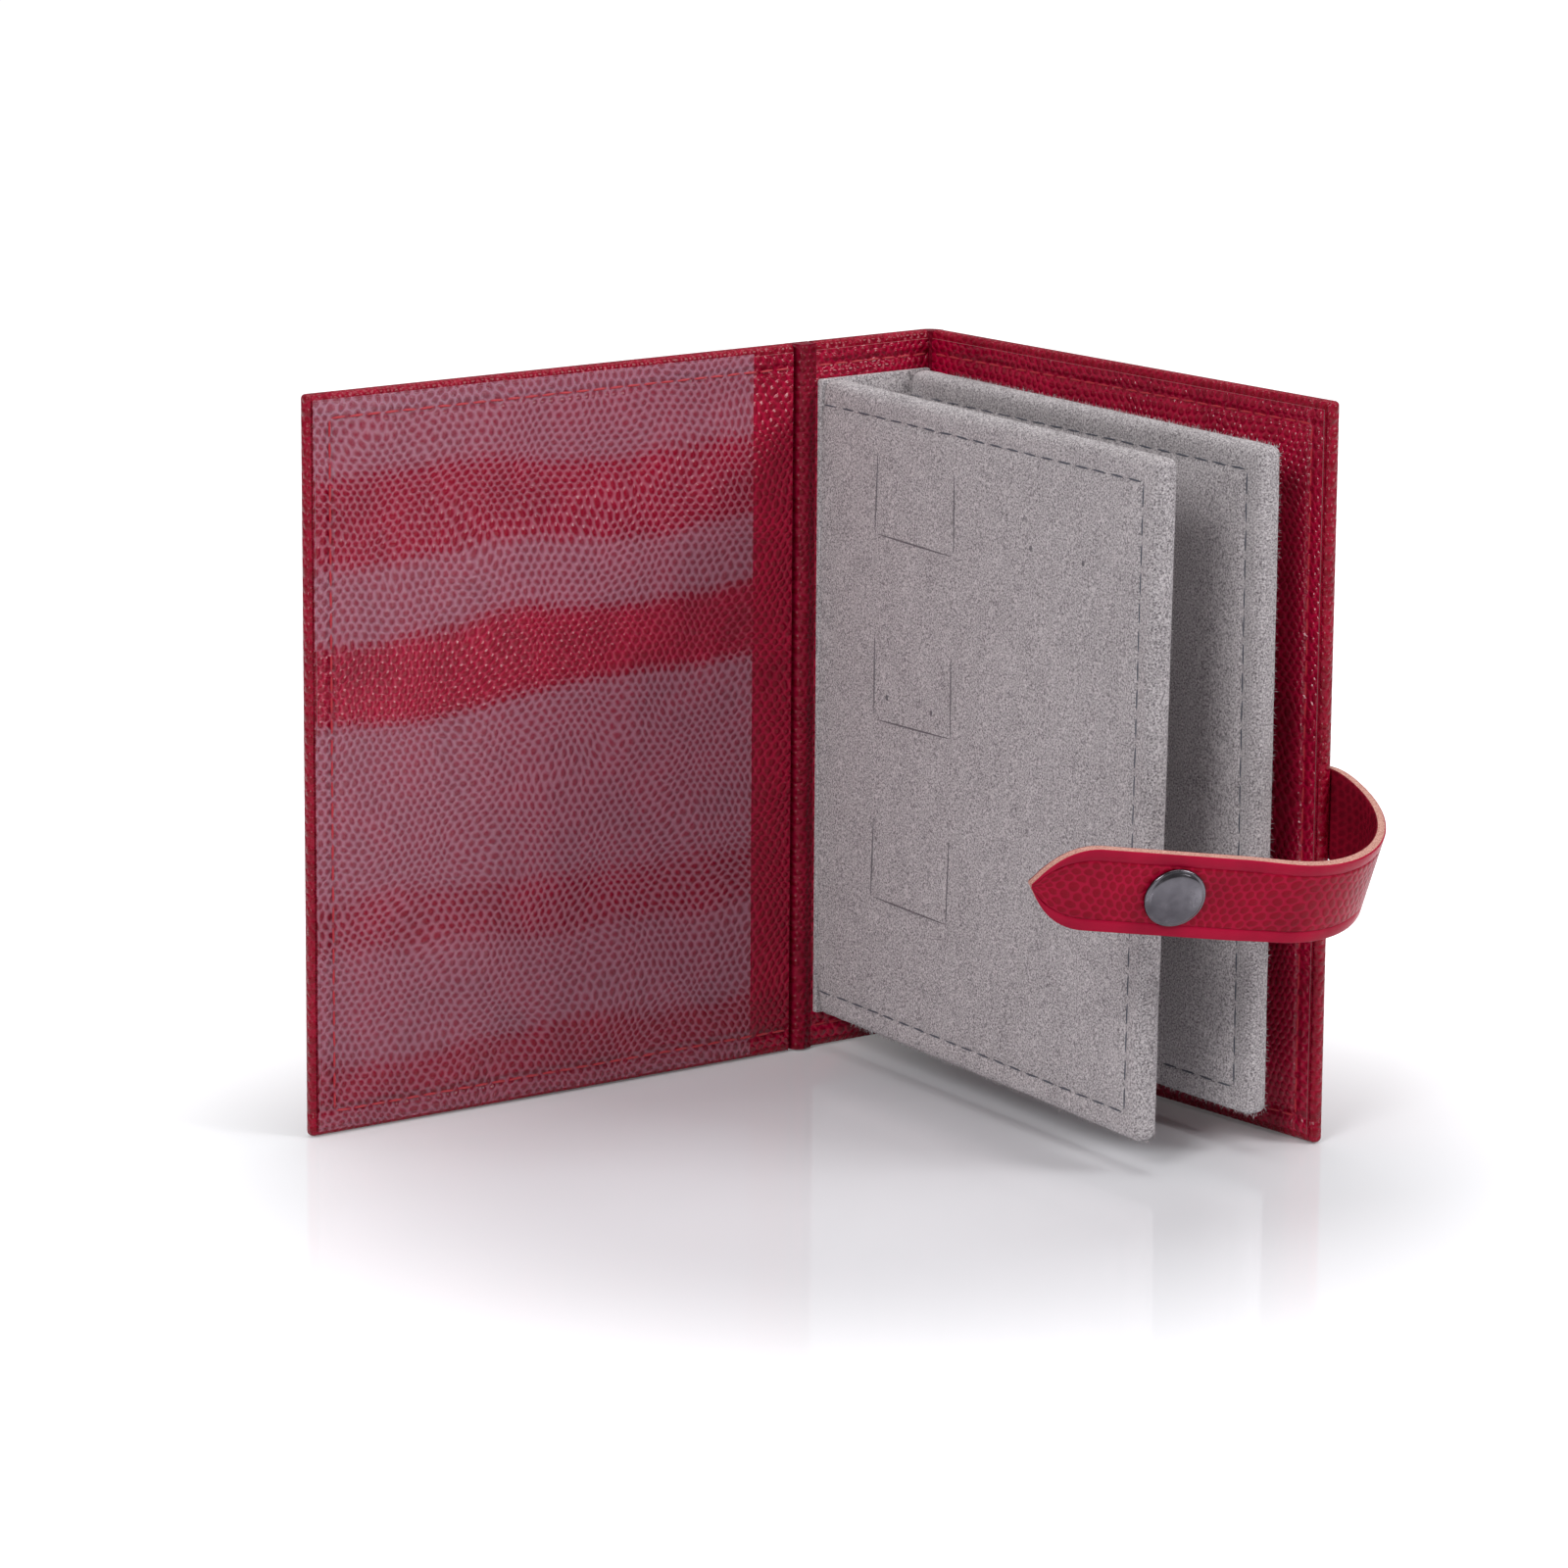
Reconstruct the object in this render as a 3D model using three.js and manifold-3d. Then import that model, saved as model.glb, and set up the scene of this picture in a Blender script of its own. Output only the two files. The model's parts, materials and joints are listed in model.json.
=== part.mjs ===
// Earring book: a standing case of three wrapped boards with two felt leaves and a snap strap.
// Millimetres. +Z is up, z = 0 is the floor, +X runs along the spine from the front fold to the
// back fold, and the inside of the case is towards -Y. The front cover lies in line with the spine
// and the back cover stands a little wider than square to it.
import * as THREE from "three";
import { mergeVertices } from "three/addons/utils/BufferGeometryUtils.js";
import Module from "manifold-3d";

const wasm = await Module();
wasm.setup();

// Case boards and their wrap
const cover_height = 150;
const cover_reach = 121; // fold axis to fore edge
const spine_pitch = 35; // between the two fold axes
const fold_gap = 5.6; // wrap with no board behind it, at each fold
const skin_thickness = 0.6;
const board_thickness = 1.7;
const lining_thickness = 0.6;
const glue_line = 0.15; // between two glued layers
const fold_depth = 0.6; // fold axis, inwards from the outer face
const turn_in = 1.6; // wrap that shows round the lining's edge
const edge_radius = 0.5;
const cover_corner_radius = 1.8;
const back_cover_angle = 93.4; // between the spine and the back cover, inside, as it stands
const case_thickness = skin_thickness + board_thickness + lining_thickness + 2 * glue_line;

// Soft folds
const fold_end_gap = 0.15; // fold strip to the next panel
const fold_strip_thickness = 1.3;
const fold_ridge_height = 1.5; // soft ridge inside the front fold, above the strip
const fold_ridge_share = 0.62; // of the fold's width

// Clear pocket on the inside of the front cover
const pocket_film = 0.3;
const pocket_open_edge = 13.2; // fold axis to the pocket's open edge
const pocket_margin = 1.1; // to the cover's top, bottom and fore edges

// Felt insert: a strip on the spine and two leaves
const felt_strip_thickness = 1.2;
const felt_strip_margin = 0.5; // to the spine panel's ends
const leaf_height = 134.5;
const leaf_thickness = 5.3;
const leaf_root_overhang = 2.3; // slab behind the leaf's hinge line
const leaf_fore_margin = 1.6; // leaf's fore edge inside the cover's, with the leaf square
const leaf_edge_radius = 1.9;
const leaf_corner_radius = 2.1;
const leaf_seam_gap = 0.2; // between the two felt faces
const leaf_root_gap = 0.45; // felt strip to the leaf's root
const leaf_board_thickness = 1.7;
const leaf_board_inset = 8; // stiffener inside the felt's stitched border
const leaf_board_clearance = 0.15;
const leaf_1_from_fold = 5.9; // front fold axis to the leaf's hinge line
const leaf_2_from_fold = 6.5; // back fold axis to the leaf's hinge line
const leaf_1_lean = 3.3; // from square to the spine, towards the front cover
const leaf_2_lean = 1;

// Strap and snap
const strap_width = 17.7;
const strap_layer = 0.95;
const strap_tab_length = 26; // sewn to the back cover's outer face
const strap_root_out = 0.2; // the strap's root line past the back cover's fore edge
const strap_sag = 21; // droop of the free strap at its root line
const strap_most_sag = 36; // that its lower corner has room for
const strap_bend_radius = 25.4; // curl of the free strap
const strap_bend_angle = 112.3;
const strap_free_length = 53.3; // the curl's end to the tip
const strap_root_closing = 23.5; // turn at the root line when the strap is shut
const strap_end_gap = 0.3; // between two strap stretches
const strap_point_length = 13;
const strap_twist = 3; // of the neck and tongue about their own length
const strap_centre_height = 67;
const snap_from_tip = 29.5; // the snap's centre to the strap's tip
const snap_cap_radius = 6.25;
const snap_cap_height = 2;
const snap_socket_radius = 5.5;
const snap_socket_height = 2.2;
const snap_socket_base = 0.5;
const snap_cavity_radius = 2.7;
const snap_socket_wall = 1.5;
const snap_socket_lip = 0.3; // round of the socket's rim and of the wall's foot
const snap_shank_radius = 1.1;
const snap_flare_radius = 1.9;
const snap_flare_thickness = 0.3;
const snap_hole_clearance = 0.2;
const snap_seat_gap = 0.15; // snap halves to the leatherette
const snap_closed_gap = 0.3; // socket to stud flange when it is shut
const snap_spring_width = 0.45;
const snap_spring_height = 0.4;
const stud_flange_radius = 5;
const stud_flange_height = 0.6;
const stud_ball_radius = 1.9;
const stud_neck_radius = 1.75;
const stud_ball_height = 1.3;
const post_radius = 1.15;
const post_head_radius = 4;
const post_head_height = 0.5;

// Closed positions, which decide the strap's curl and the place of the stud
const front_closing = 86.2; // turn of the front cover to its closed position
const back_closing = 2; // turn of the back cover to its closed position

const rad = THREE.MathUtils.degToRad;
const fold_x = spine_pitch / 2;
const fold_y = case_thickness / 2 - fold_depth;
const panel_start = fold_gap / 2;
const strap_thickness = 2 * strap_layer + glue_line;
const strap_half = strap_thickness / 2;
const strap_root_offset = fold_depth + glue_line + strap_half;

function solid(geometry) {
  const g = geometry.clone();
  g.deleteAttribute("normal");
  g.deleteAttribute("uv");
  const merged = mergeVertices(g, 1e-5);
  return new wasm.Manifold(
    new wasm.Mesh({
      numProp: 3,
      vertProperties: new Float32Array(merged.attributes.position.array),
      triVerts: new Uint32Array(merged.index.array),
    }),
  );
}

function geometryOf(body) {
  const mesh = body.getMesh();
  const g = new THREE.BufferGeometry();
  g.setAttribute("position", new THREE.BufferAttribute(new Float32Array(mesh.vertProperties), 3));
  g.setIndex(new THREE.BufferAttribute(new Uint32Array(mesh.triVerts), 1));
  g.computeVertexNormals();
  return g;
}

function block(x0, x1, y0, y1, z0, z1) {
  const g = new THREE.BoxGeometry(x1 - x0, y1 - y0, z1 - z0);
  return g.translate((x0 + x1) / 2, (y0 + y1) / 2, (z0 + z1) / 2);
}

// A slab in the XZ plane with rounded corners at its low-x and high-x ends and rounded edges.
function slab(x0, x1, y0, y1, z0, z1, { low = 0, high = 0, edge = 0 } = {}) {
  const a = x0 + edge;
  const b = x1 - edge;
  const c = z0 + edge;
  const d = z1 - edge;
  const rl = Math.max(low - edge, 0);
  const rh = Math.max(high - edge, 0);
  const shape = new THREE.Shape();
  shape.moveTo(a + rl, c);
  shape.lineTo(b - rh, c);
  if (rh > 0) shape.absarc(b - rh, c + rh, rh, -Math.PI / 2, 0, false);
  shape.lineTo(b, d - rh);
  if (rh > 0) shape.absarc(b - rh, d - rh, rh, 0, Math.PI / 2, false);
  shape.lineTo(a + rl, d);
  if (rl > 0) shape.absarc(a + rl, d - rl, rl, Math.PI / 2, Math.PI, false);
  shape.lineTo(a, c + rl);
  if (rl > 0) shape.absarc(a + rl, c + rl, rl, Math.PI, 1.5 * Math.PI, false);
  const g = new THREE.ExtrudeGeometry(shape, {
    depth: y1 - y0 - 2 * edge,
    bevelEnabled: edge > 0,
    bevelThickness: edge,
    bevelSize: edge,
    bevelSegments: 3,
    curveSegments: 5,
  });
  g.rotateX(Math.PI / 2);
  return g.translate(0, y1 - edge, 0);
}

// A plan outline pulled up from z0 to z1.
function upright(points, z0, z1) {
  const shape = new THREE.Shape(points.map(([x, y]) => new THREE.Vector2(x, y)));
  const g = new THREE.ExtrudeGeometry(shape, { depth: z1 - z0, bevelEnabled: false });
  return g.translate(0, 0, z0);
}

// A turned piece whose axis is local Y.
function turned(profile, segments = 36) {
  return new THREE.LatheGeometry(
    profile.map(([r, y]) => new THREE.Vector2(r, y)),
    segments,
  );
}

function drill(radius, x, z, y0, y1) {
  return solid(new THREE.CylinderGeometry(radius, radius, y1 - y0, 28).translate(x, (y0 + y1) / 2, z));
}

const earring_book = new THREE.Group();
earring_book.name = "earring_book";

function body(name, x, y, turn, parent = earring_book) {
  const g = new THREE.Group();
  g.name = name;
  g.position.set(x, y, 0);
  g.rotation.z = turn;
  parent.add(g);
  return g;
}

function piece(parent, name, geometry, look) {
  const material = new THREE.MeshStandardMaterial(look);
  const mesh = new THREE.Mesh(geometry, material);
  mesh.name = name;
  parent.add(mesh);
  return mesh;
}

const leatherette = { color: 0x7a0c22, roughness: 0.3 };
const greyboard = { color: 0x9a948a, roughness: 0.9 };
const felt = { color: 0xb9bcc0, roughness: 1 };
const clear_film = { color: 0xd8c8ce, roughness: 0.2, transparent: true, opacity: 0.4 };
const gunmetal = { color: 0x4a4c50, roughness: 0.3, metalness: 1 };

// The panels. Each has a greyboard, the wrap turned in over its free edges, and a lining let in
// between the turned edges. inside is the local Y sign of the inner face.
function depth(inside, w0, w1) {
  const a = inside * (w0 - fold_depth);
  const b = inside * (w1 - fold_depth);
  return [Math.min(a, b), Math.max(a, b)];
}

function panel(x0, x1, inside, wraps_x1) {
  const [y0, y1] = depth(inside, 0, case_thickness);
  const [c0, c1] = depth(inside, skin_thickness, case_thickness - lining_thickness);
  const [f0, f1] = depth(inside, skin_thickness, case_thickness + 1);
  const [b0, b1] = depth(inside, skin_thickness + glue_line, skin_thickness + glue_line + board_thickness);
  const [l0, l1] = depth(inside, case_thickness - lining_thickness, case_thickness);
  const core = skin_thickness;
  const frame = turn_in;
  const past = 1;
  const core_end = wraps_x1 ? x1 - core : x1 + past;
  const frame_end = wraps_x1 ? x1 - frame : x1 + past;
  const corner = wraps_x1 ? cover_corner_radius : 0;
  const edge = edge_radius;
  const blank_start = x0 - past;
  const blank_end = wraps_x1 ? x1 : x1 + past;
  const blank = solid(slab(blank_start, blank_end, y0, y1, 0, cover_height, { high: corner, edge }));
  const kept = solid(block(x0, x1, y0 - past, y1 + past, -past, cover_height + past));
  const hollow = solid(block(blank_start - past, core_end, c0, c1, core, cover_height - core));
  const window = solid(block(blank_start - past, frame_end, f0, f1, frame, cover_height - frame));
  const skin = blank.intersect(kept).subtract(hollow).subtract(window);
  const gap = glue_line;
  const board_end = wraps_x1 ? x1 - core - gap : x1 - gap;
  const lining_end = wraps_x1 ? x1 - frame - gap : x1 - gap;
  const board = block(x0 + gap, board_end, b0, b1, core + gap, cover_height - core - gap);
  const lining = slab(x0 + gap, lining_end, l0, l1, frame + gap, cover_height - frame - gap);
  return { skin, board: solid(board), lining: solid(lining) };
}

const spine = body("spine", 0, fold_y, 0);
const spine_end = fold_x - panel_start;
const spine_panel = panel(-spine_end, spine_end, -1, false);
piece(spine, "spine_board", geometryOf(spine_panel.board), greyboard);
piece(spine, "spine_skin", geometryOf(spine_panel.skin), leatherette);
piece(spine, "spine_lining", geometryOf(spine_panel.lining), leatherette);

const front_cover = body("front_cover", -fold_x, fold_y, Math.PI);
const front_panel = panel(panel_start, cover_reach, 1, true);

const back_turn = rad(back_cover_angle - 180);
const back_cover = body("back_cover", fold_x, fold_y, back_turn);
const back_panel = panel(panel_start, cover_reach, -1, true);
piece(back_cover, "back_board", geometryOf(back_panel.board), greyboard);
piece(back_cover, "back_skin", geometryOf(back_panel.skin), leatherette);
piece(back_cover, "back_lining", geometryOf(back_panel.lining), leatherette);

// The soft folds: wrap and lining glued together with no board between them. The open front fold
// lies flat, with a groove beside the cover and a soft ridge beside the spine. The back fold is a
// quarter bend.
const fold_half = panel_start - fold_end_gap;
const fold_outer = fold_depth;
const fold_groove = fold_outer - fold_strip_thickness;
const ridge_top = fold_groove - fold_ridge_height;
const ridge_foot = fold_half - 2 * fold_half * fold_ridge_share;
const ridge_mid = (ridge_foot + fold_half) / 2;
const front_hinge_outline = [
  [-fold_half, fold_outer],
  [-fold_half, fold_groove],
  [ridge_foot, fold_groove],
  [(ridge_foot + ridge_mid) / 2, (fold_groove + 2 * ridge_top) / 3],
  [ridge_mid, ridge_top],
  [(ridge_mid + fold_half) / 2, ridge_top + fold_ridge_height * 0.08],
  [fold_half, ridge_top + fold_ridge_height * 0.25],
  [fold_half, fold_outer],
];
const hinge_low = edge_radius / 2;
const hinge_high = cover_height - hinge_low;
const front_hinge = upright(front_hinge_outline, hinge_low, hinge_high).translate(-fold_x, 0, 0);
piece(spine, "front_hinge", front_hinge, leatherette);

const bend_turn = -back_turn;
const bend_radius = panel_start / Math.tan(bend_turn / 2);
const bend_outer = bend_radius + fold_depth;
const bend_inner = Math.max(bend_outer - 2 * fold_strip_thickness, 0.3);
const bend_end = fold_end_gap / bend_radius;
const bend_outline = [];
const bend_steps = 10;
for (let i = 0; i <= bend_steps; i++) {
  const t = Math.PI / 2 - bend_end - ((bend_turn - 2 * bend_end) * i) / bend_steps;
  bend_outline.push([bend_outer * Math.cos(t), bend_outer * Math.sin(t)]);
}
for (let i = bend_steps; i >= 0; i--) {
  const t = Math.PI / 2 - bend_end - ((bend_turn - 2 * bend_end) * i) / bend_steps;
  bend_outline.push([bend_inner * Math.cos(t), bend_inner * Math.sin(t)]);
}
const back_hinge = upright(bend_outline, hinge_low, hinge_high).translate(spine_end, -bend_radius, 0);
piece(spine, "back_hinge", back_hinge, leatherette);

// The felt insert. Its strip is sewn to the spine and each leaf is two felt faces round a board.
const lining_face = fold_depth - case_thickness;
const leaf_low = (cover_height - leaf_height) / 2;
const leaf_high = cover_height - leaf_low;
const strip_front = lining_face - glue_line;
const strip_inner = strip_front - felt_strip_thickness;
const strip_end = spine_end - felt_strip_margin;
const felt_strip = slab(-strip_end, strip_end, strip_inner, strip_front, leaf_low, leaf_high, { edge: 0.3 });
piece(spine, "felt_spine", felt_strip, felt);

const leaf_hinge_y = strip_inner - leaf_root_gap - leaf_root_overhang;
const leaf_fore = cover_reach + leaf_hinge_y - leaf_fore_margin;
const leaf_half = leaf_thickness / 2;

function leaf(name, hinge_x, lean) {
  const group = body(name, hinge_x, fold_y + leaf_hinge_y, rad(-90 - lean));
  const low_x = -leaf_root_overhang;
  const edge = leaf_edge_radius;
  const corner = leaf_corner_radius;
  const whole = solid(
    slab(low_x, leaf_fore, -leaf_half, leaf_half, leaf_low, leaf_high, { low: edge, high: corner, edge }),
  );
  const in_x0 = low_x + leaf_board_inset;
  const in_x1 = leaf_fore - leaf_board_inset;
  const in_z0 = leaf_low + leaf_board_inset;
  const in_z1 = leaf_high - leaf_board_inset;
  const room = leaf_board_clearance;
  const pocket_half = leaf_board_thickness / 2 + room;
  const seam = leaf_seam_gap / 2;
  const far = 2 * leaf_fore;
  const board_space = solid(
    block(in_x0 - room, in_x1 + room, -pocket_half, pocket_half, in_z0 - room, in_z1 + room),
  );
  const front_side = solid(block(-far, far, -far, -seam, -far, far));
  const rear_side = solid(block(-far, far, seam, far, -far, far));
  const board_half = leaf_board_thickness / 2;
  const stiffener = block(in_x0, in_x1, -board_half, board_half, in_z0, in_z1);
  const front_face = whole.intersect(front_side).subtract(board_space);
  const rear_face = whole.intersect(rear_side).subtract(board_space);
  piece(group, name + "_board", stiffener, greyboard);
  piece(group, name + "_front_felt", geometryOf(front_face), felt);
  piece(group, name + "_rear_felt", geometryOf(rear_face), felt);
}

leaf("leaf_1", -fold_x + leaf_1_from_fold, leaf_1_lean);
leaf("leaf_2", fold_x - leaf_2_from_fold, leaf_2_lean);

// The strap's closed course, in plan: from its root line on the back cover, round the fore edges,
// to lie on the front cover with the snap shut. It gives the length of the straight neck after the
// curl, which ends at the second crease, and the place of the stud.
const closed_offset =
  fold_depth +
  snap_seat_gap +
  stud_flange_height +
  snap_closed_gap +
  snap_socket_height +
  snap_seat_gap +
  strap_half;
const way = (angle) => new THREE.Vector2(Math.cos(angle), Math.sin(angle));
const closed_back = back_turn - rad(back_closing);
const closed_front = Math.PI + rad(front_closing) - 2 * Math.PI;
const curl = rad(strap_bend_angle);
const heading_in = closed_back - rad(strap_root_closing);
const heading_out = heading_in - curl;
const front_fold = new THREE.Vector2(-fold_x, fold_y);
const front_out = way(closed_front - Math.PI / 2);
const root_reach = cover_reach + strap_root_out;
const closed_root = new THREE.Vector2(fold_x, fold_y)
  .addScaledVector(way(closed_back), root_reach)
  .addScaledVector(way(closed_back + Math.PI / 2), strap_root_offset);
const curl_run = new THREE.Vector2(
  Math.sin(heading_in) - Math.sin(heading_out),
  Math.cos(heading_out) - Math.cos(heading_in),
);
const curl_end = closed_root.clone().addScaledVector(curl_run, strap_bend_radius).sub(front_fold);
const neck_length = (closed_offset - curl_end.dot(front_out)) / way(heading_out).dot(front_out);
const closed_crease = curl_end.clone().addScaledVector(way(heading_out), neck_length);
const tongue_length = strap_free_length - neck_length;
const snap_from_crease = tongue_length - snap_from_tip;
const stud_x = closed_crease.dot(way(closed_front)) - snap_from_crease;
const stud_z = strap_centre_height;

// The front cover, with the stud riveted through its board from inside.
const post_hole = post_radius + snap_hole_clearance;
const [hole_0, hole_1] = depth(1, -1, skin_thickness + glue_line + board_thickness + glue_line / 2);
const stud_hole = drill(post_hole, stud_x, stud_z, hole_0, hole_1);
const board_inner = skin_thickness + glue_line + board_thickness;
const head_room = post_head_height + 2 * glue_line;
const [sink_0, sink_1] = depth(1, board_inner - head_room, board_inner + 1);
const head_sink = drill(post_head_radius + snap_hole_clearance, stud_x, stud_z, sink_0, sink_1);
const front_board = front_panel.board.subtract(stud_hole).subtract(head_sink);
piece(front_cover, "front_board", geometryOf(front_board), greyboard);
piece(front_cover, "front_skin", geometryOf(front_panel.skin.subtract(stud_hole)), leatherette);
piece(front_cover, "front_lining", geometryOf(front_panel.lining), leatherette);

const [film_0, film_1] = depth(1, case_thickness + glue_line, case_thickness + glue_line + pocket_film);
const film_end = cover_reach - pocket_margin;
const film_top = cover_height - pocket_margin;
const film = slab(pocket_open_edge, film_end, film_0, film_1, pocket_margin, film_top, { high: 1 });
piece(front_cover, "front_pocket", film, clear_film);

const stud_seat = -fold_depth - snap_seat_gap;
const stud_bore = post_radius + snap_hole_clearance / 2;
const stud_bore_depth = stud_flange_height + stud_ball_height * 0.45;
const stud_top = stud_flange_height + stud_ball_height;
const stud_profile = [
  [0, -stud_bore_depth],
  [stud_bore, -stud_bore_depth],
  [stud_bore, 0],
  [stud_flange_radius, 0],
  [stud_flange_radius, -stud_flange_height * 0.6],
  [stud_flange_radius - 0.3, -stud_flange_height],
  [stud_neck_radius, -stud_flange_height],
  [stud_neck_radius, -stud_flange_height - stud_ball_height * 0.3],
  [stud_ball_radius, -stud_flange_height - stud_ball_height * 0.55],
  [stud_ball_radius * 0.9, -stud_flange_height - stud_ball_height * 0.8],
  [stud_ball_radius * 0.6, -stud_top],
  [0, -stud_top],
];
piece(front_cover, "snap_stud", turned(stud_profile.reverse()).translate(stud_x, stud_seat, stud_z), gunmetal);

const post_top = board_inner - fold_depth - glue_line / 2;
const post_end = stud_seat - stud_bore_depth + glue_line;
const post_profile = [
  [0, post_end],
  [post_radius, post_end],
  [post_radius, post_top - post_head_height],
  [post_head_radius, post_top - post_head_height],
  [post_head_radius, post_top],
  [0, post_top],
];
piece(front_cover, "snap_post", turned(post_profile).translate(stud_x, 0, stud_z), gunmetal);

// The strap: an outer layer and a lining, sewn together along both edges. It has a tab on the back
// cover's outer face, a curl that droops from the fore edge, a straight neck and a pointed tongue.
// Every stretch starts square and ends in a half-round where the next one begins. Each is drawn
// about the strap's centre line.
const strap_reach = strap_width / 2;
const layer_outer = [glue_line / 2, strap_half];
const layer_inner = [-strap_half, -glue_line / 2];
const strap_start = strap_half + strap_end_gap;

function band(course, [n0, n1]) {
  const side = (n) => course.map(({ x, y, h }) => [x - n * Math.sin(h), y + n * Math.cos(h)]);
  const end = course[course.length - 1];
  const round = [];
  const steps = 6;
  for (let i = 0; i <= steps; i++) {
    const n = n1 + ((n0 - n1) * i) / steps;
    const t = Math.sqrt(Math.max(strap_half * strap_half - n * n, 0)) + 1e-4;
    const { x, y, h } = end;
    round.push([x + t * Math.cos(h) - n * Math.sin(h), y + t * Math.sin(h) + n * Math.cos(h)]);
  }
  const outline = [...side(n0), ...round.reverse(), ...side(n1).reverse()];
  return upright(outline, -strap_reach, strap_reach);
}

const tab_course = [
  { x: cover_reach - strap_tab_length, y: strap_root_offset, h: 0 },
  { x: root_reach, y: strap_root_offset, h: 0 },
];
const tab_layer = (layer) => band(tab_course, layer).translate(0, 0, strap_centre_height);
piece(back_cover, "strap_tab_outer", tab_layer(layer_outer), leatherette);
piece(back_cover, "strap_tab_lining", tab_layer(layer_inner), leatherette);

const strap_curl = body("strap_curl", root_reach, strap_root_offset, 0, back_cover);
strap_curl.position.z = strap_centre_height;
strap_curl.rotation.y = rad(strap_sag);
const curl_course = [];
const curl_steps = 26;
const curl_start = strap_start / strap_bend_radius;
for (let i = 0; i <= curl_steps; i++) {
  const h = -curl_start - ((curl - curl_start) * i) / curl_steps;
  const x = -strap_bend_radius * Math.sin(h);
  const y = strap_bend_radius * (Math.cos(h) - 1);
  curl_course.push({ x, y, h });
}
const curl_last = curl_course[curl_steps];
// Its lower corner at the root is cut back, so that it clears the cover when it droops further.
const corner_cut = block(-strap_width, 0, -strap_width, strap_width, -3 * strap_reach, 0);
corner_cut.rotateY(-rad(strap_most_sag)).translate(strap_start, 0, 0);
const curl_layer = (layer) => geometryOf(solid(band(curl_course, layer)).subtract(solid(corner_cut)));
piece(strap_curl, "strap_curl_outer", curl_layer(layer_outer), leatherette);
piece(strap_curl, "strap_curl_lining", curl_layer(layer_inner), leatherette);

const strap_neck = body("strap_neck", curl_last.x, curl_last.y, -curl, strap_curl);
strap_neck.rotation.order = "ZYX";
strap_neck.rotation.x = rad(strap_twist);
const neck_course = [
  { x: strap_start, y: 0, h: 0 },
  { x: neck_length, y: 0, h: 0 },
];
piece(strap_neck, "strap_neck_outer", band(neck_course, layer_outer), leatherette);
piece(strap_neck, "strap_neck_lining", band(neck_course, layer_inner), leatherette);

// The tongue's frame has its origin on the strap's centre line at the second crease.
const strap_tongue = body("strap_tongue", neck_length, 0, 0, strap_neck);

function tongue_layer([n0, n1]) {
  const half = strap_reach;
  const start = strap_start;
  const shoulder = tongue_length - strap_point_length;
  const bow = shoulder + strap_point_length * 0.62;
  const shape = new THREE.Shape();
  shape.moveTo(start, -half);
  shape.lineTo(shoulder, -half);
  shape.quadraticCurveTo(bow, -half, tongue_length, 0);
  shape.quadraticCurveTo(bow, half, shoulder, half);
  shape.lineTo(start, half);
  const g = new THREE.ExtrudeGeometry(shape, { depth: n1 - n0, bevelEnabled: false, curveSegments: 10 });
  g.rotateX(Math.PI / 2);
  g.translate(0, n1, 0);
  const hole = drill(snap_shank_radius + snap_hole_clearance, snap_from_crease, 0, n0 - 1, n1 + 1);
  return geometryOf(solid(g).subtract(hole));
}
piece(strap_tongue, "strap_tongue_outer", tongue_layer(layer_outer), leatherette);
piece(strap_tongue, "strap_tongue_lining", tongue_layer(layer_inner), leatherette);

// The snap's cap with its shank, set through the tongue and flared inside the socket.
const cap_seat = strap_half + snap_seat_gap;
const socket_top = -strap_half - snap_seat_gap;
const flare_top = socket_top - snap_socket_base - glue_line;
const flare_end = flare_top - snap_flare_thickness;
const cap_profile = [
  [0, flare_end],
  [snap_flare_radius, flare_end],
  [snap_flare_radius, flare_top],
  [snap_shank_radius, flare_top],
  [snap_shank_radius, cap_seat],
  [snap_cap_radius - 0.4, cap_seat],
  [snap_cap_radius, cap_seat + snap_cap_height * 0.16],
  [snap_cap_radius, cap_seat + snap_cap_height * 0.34],
  [snap_cap_radius - 0.3, cap_seat + snap_cap_height * 0.52],
  [snap_cap_radius * 0.8, cap_seat + snap_cap_height * 0.74],
  [snap_cap_radius * 0.55, cap_seat + snap_cap_height * 0.9],
  [snap_cap_radius * 0.28, cap_seat + snap_cap_height * 0.98],
  [0, cap_seat + snap_cap_height],
];
piece(strap_tongue, "snap_cap", turned(cap_profile).translate(snap_from_crease, 0, 0), gunmetal);

const socket_end = socket_top - snap_socket_height;
const cavity_top = socket_top - snap_socket_base;
const socket_hole = snap_shank_radius + snap_hole_clearance;
const socket_wall = snap_cavity_radius + snap_socket_wall;
const socket_profile = [
  [socket_hole, socket_top],
  [socket_hole, cavity_top],
  [snap_cavity_radius, cavity_top],
  [snap_cavity_radius, socket_end],
  [socket_wall - snap_socket_lip, socket_end],
  [socket_wall, socket_end + snap_socket_lip],
  [socket_wall, cavity_top - snap_socket_lip],
  [snap_socket_radius, cavity_top],
  [snap_socket_radius, socket_top],
  [socket_hole, socket_top],
];
piece(strap_tongue, "snap_socket", turned(socket_profile).translate(snap_from_crease, 0, 0), gunmetal);

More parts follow.
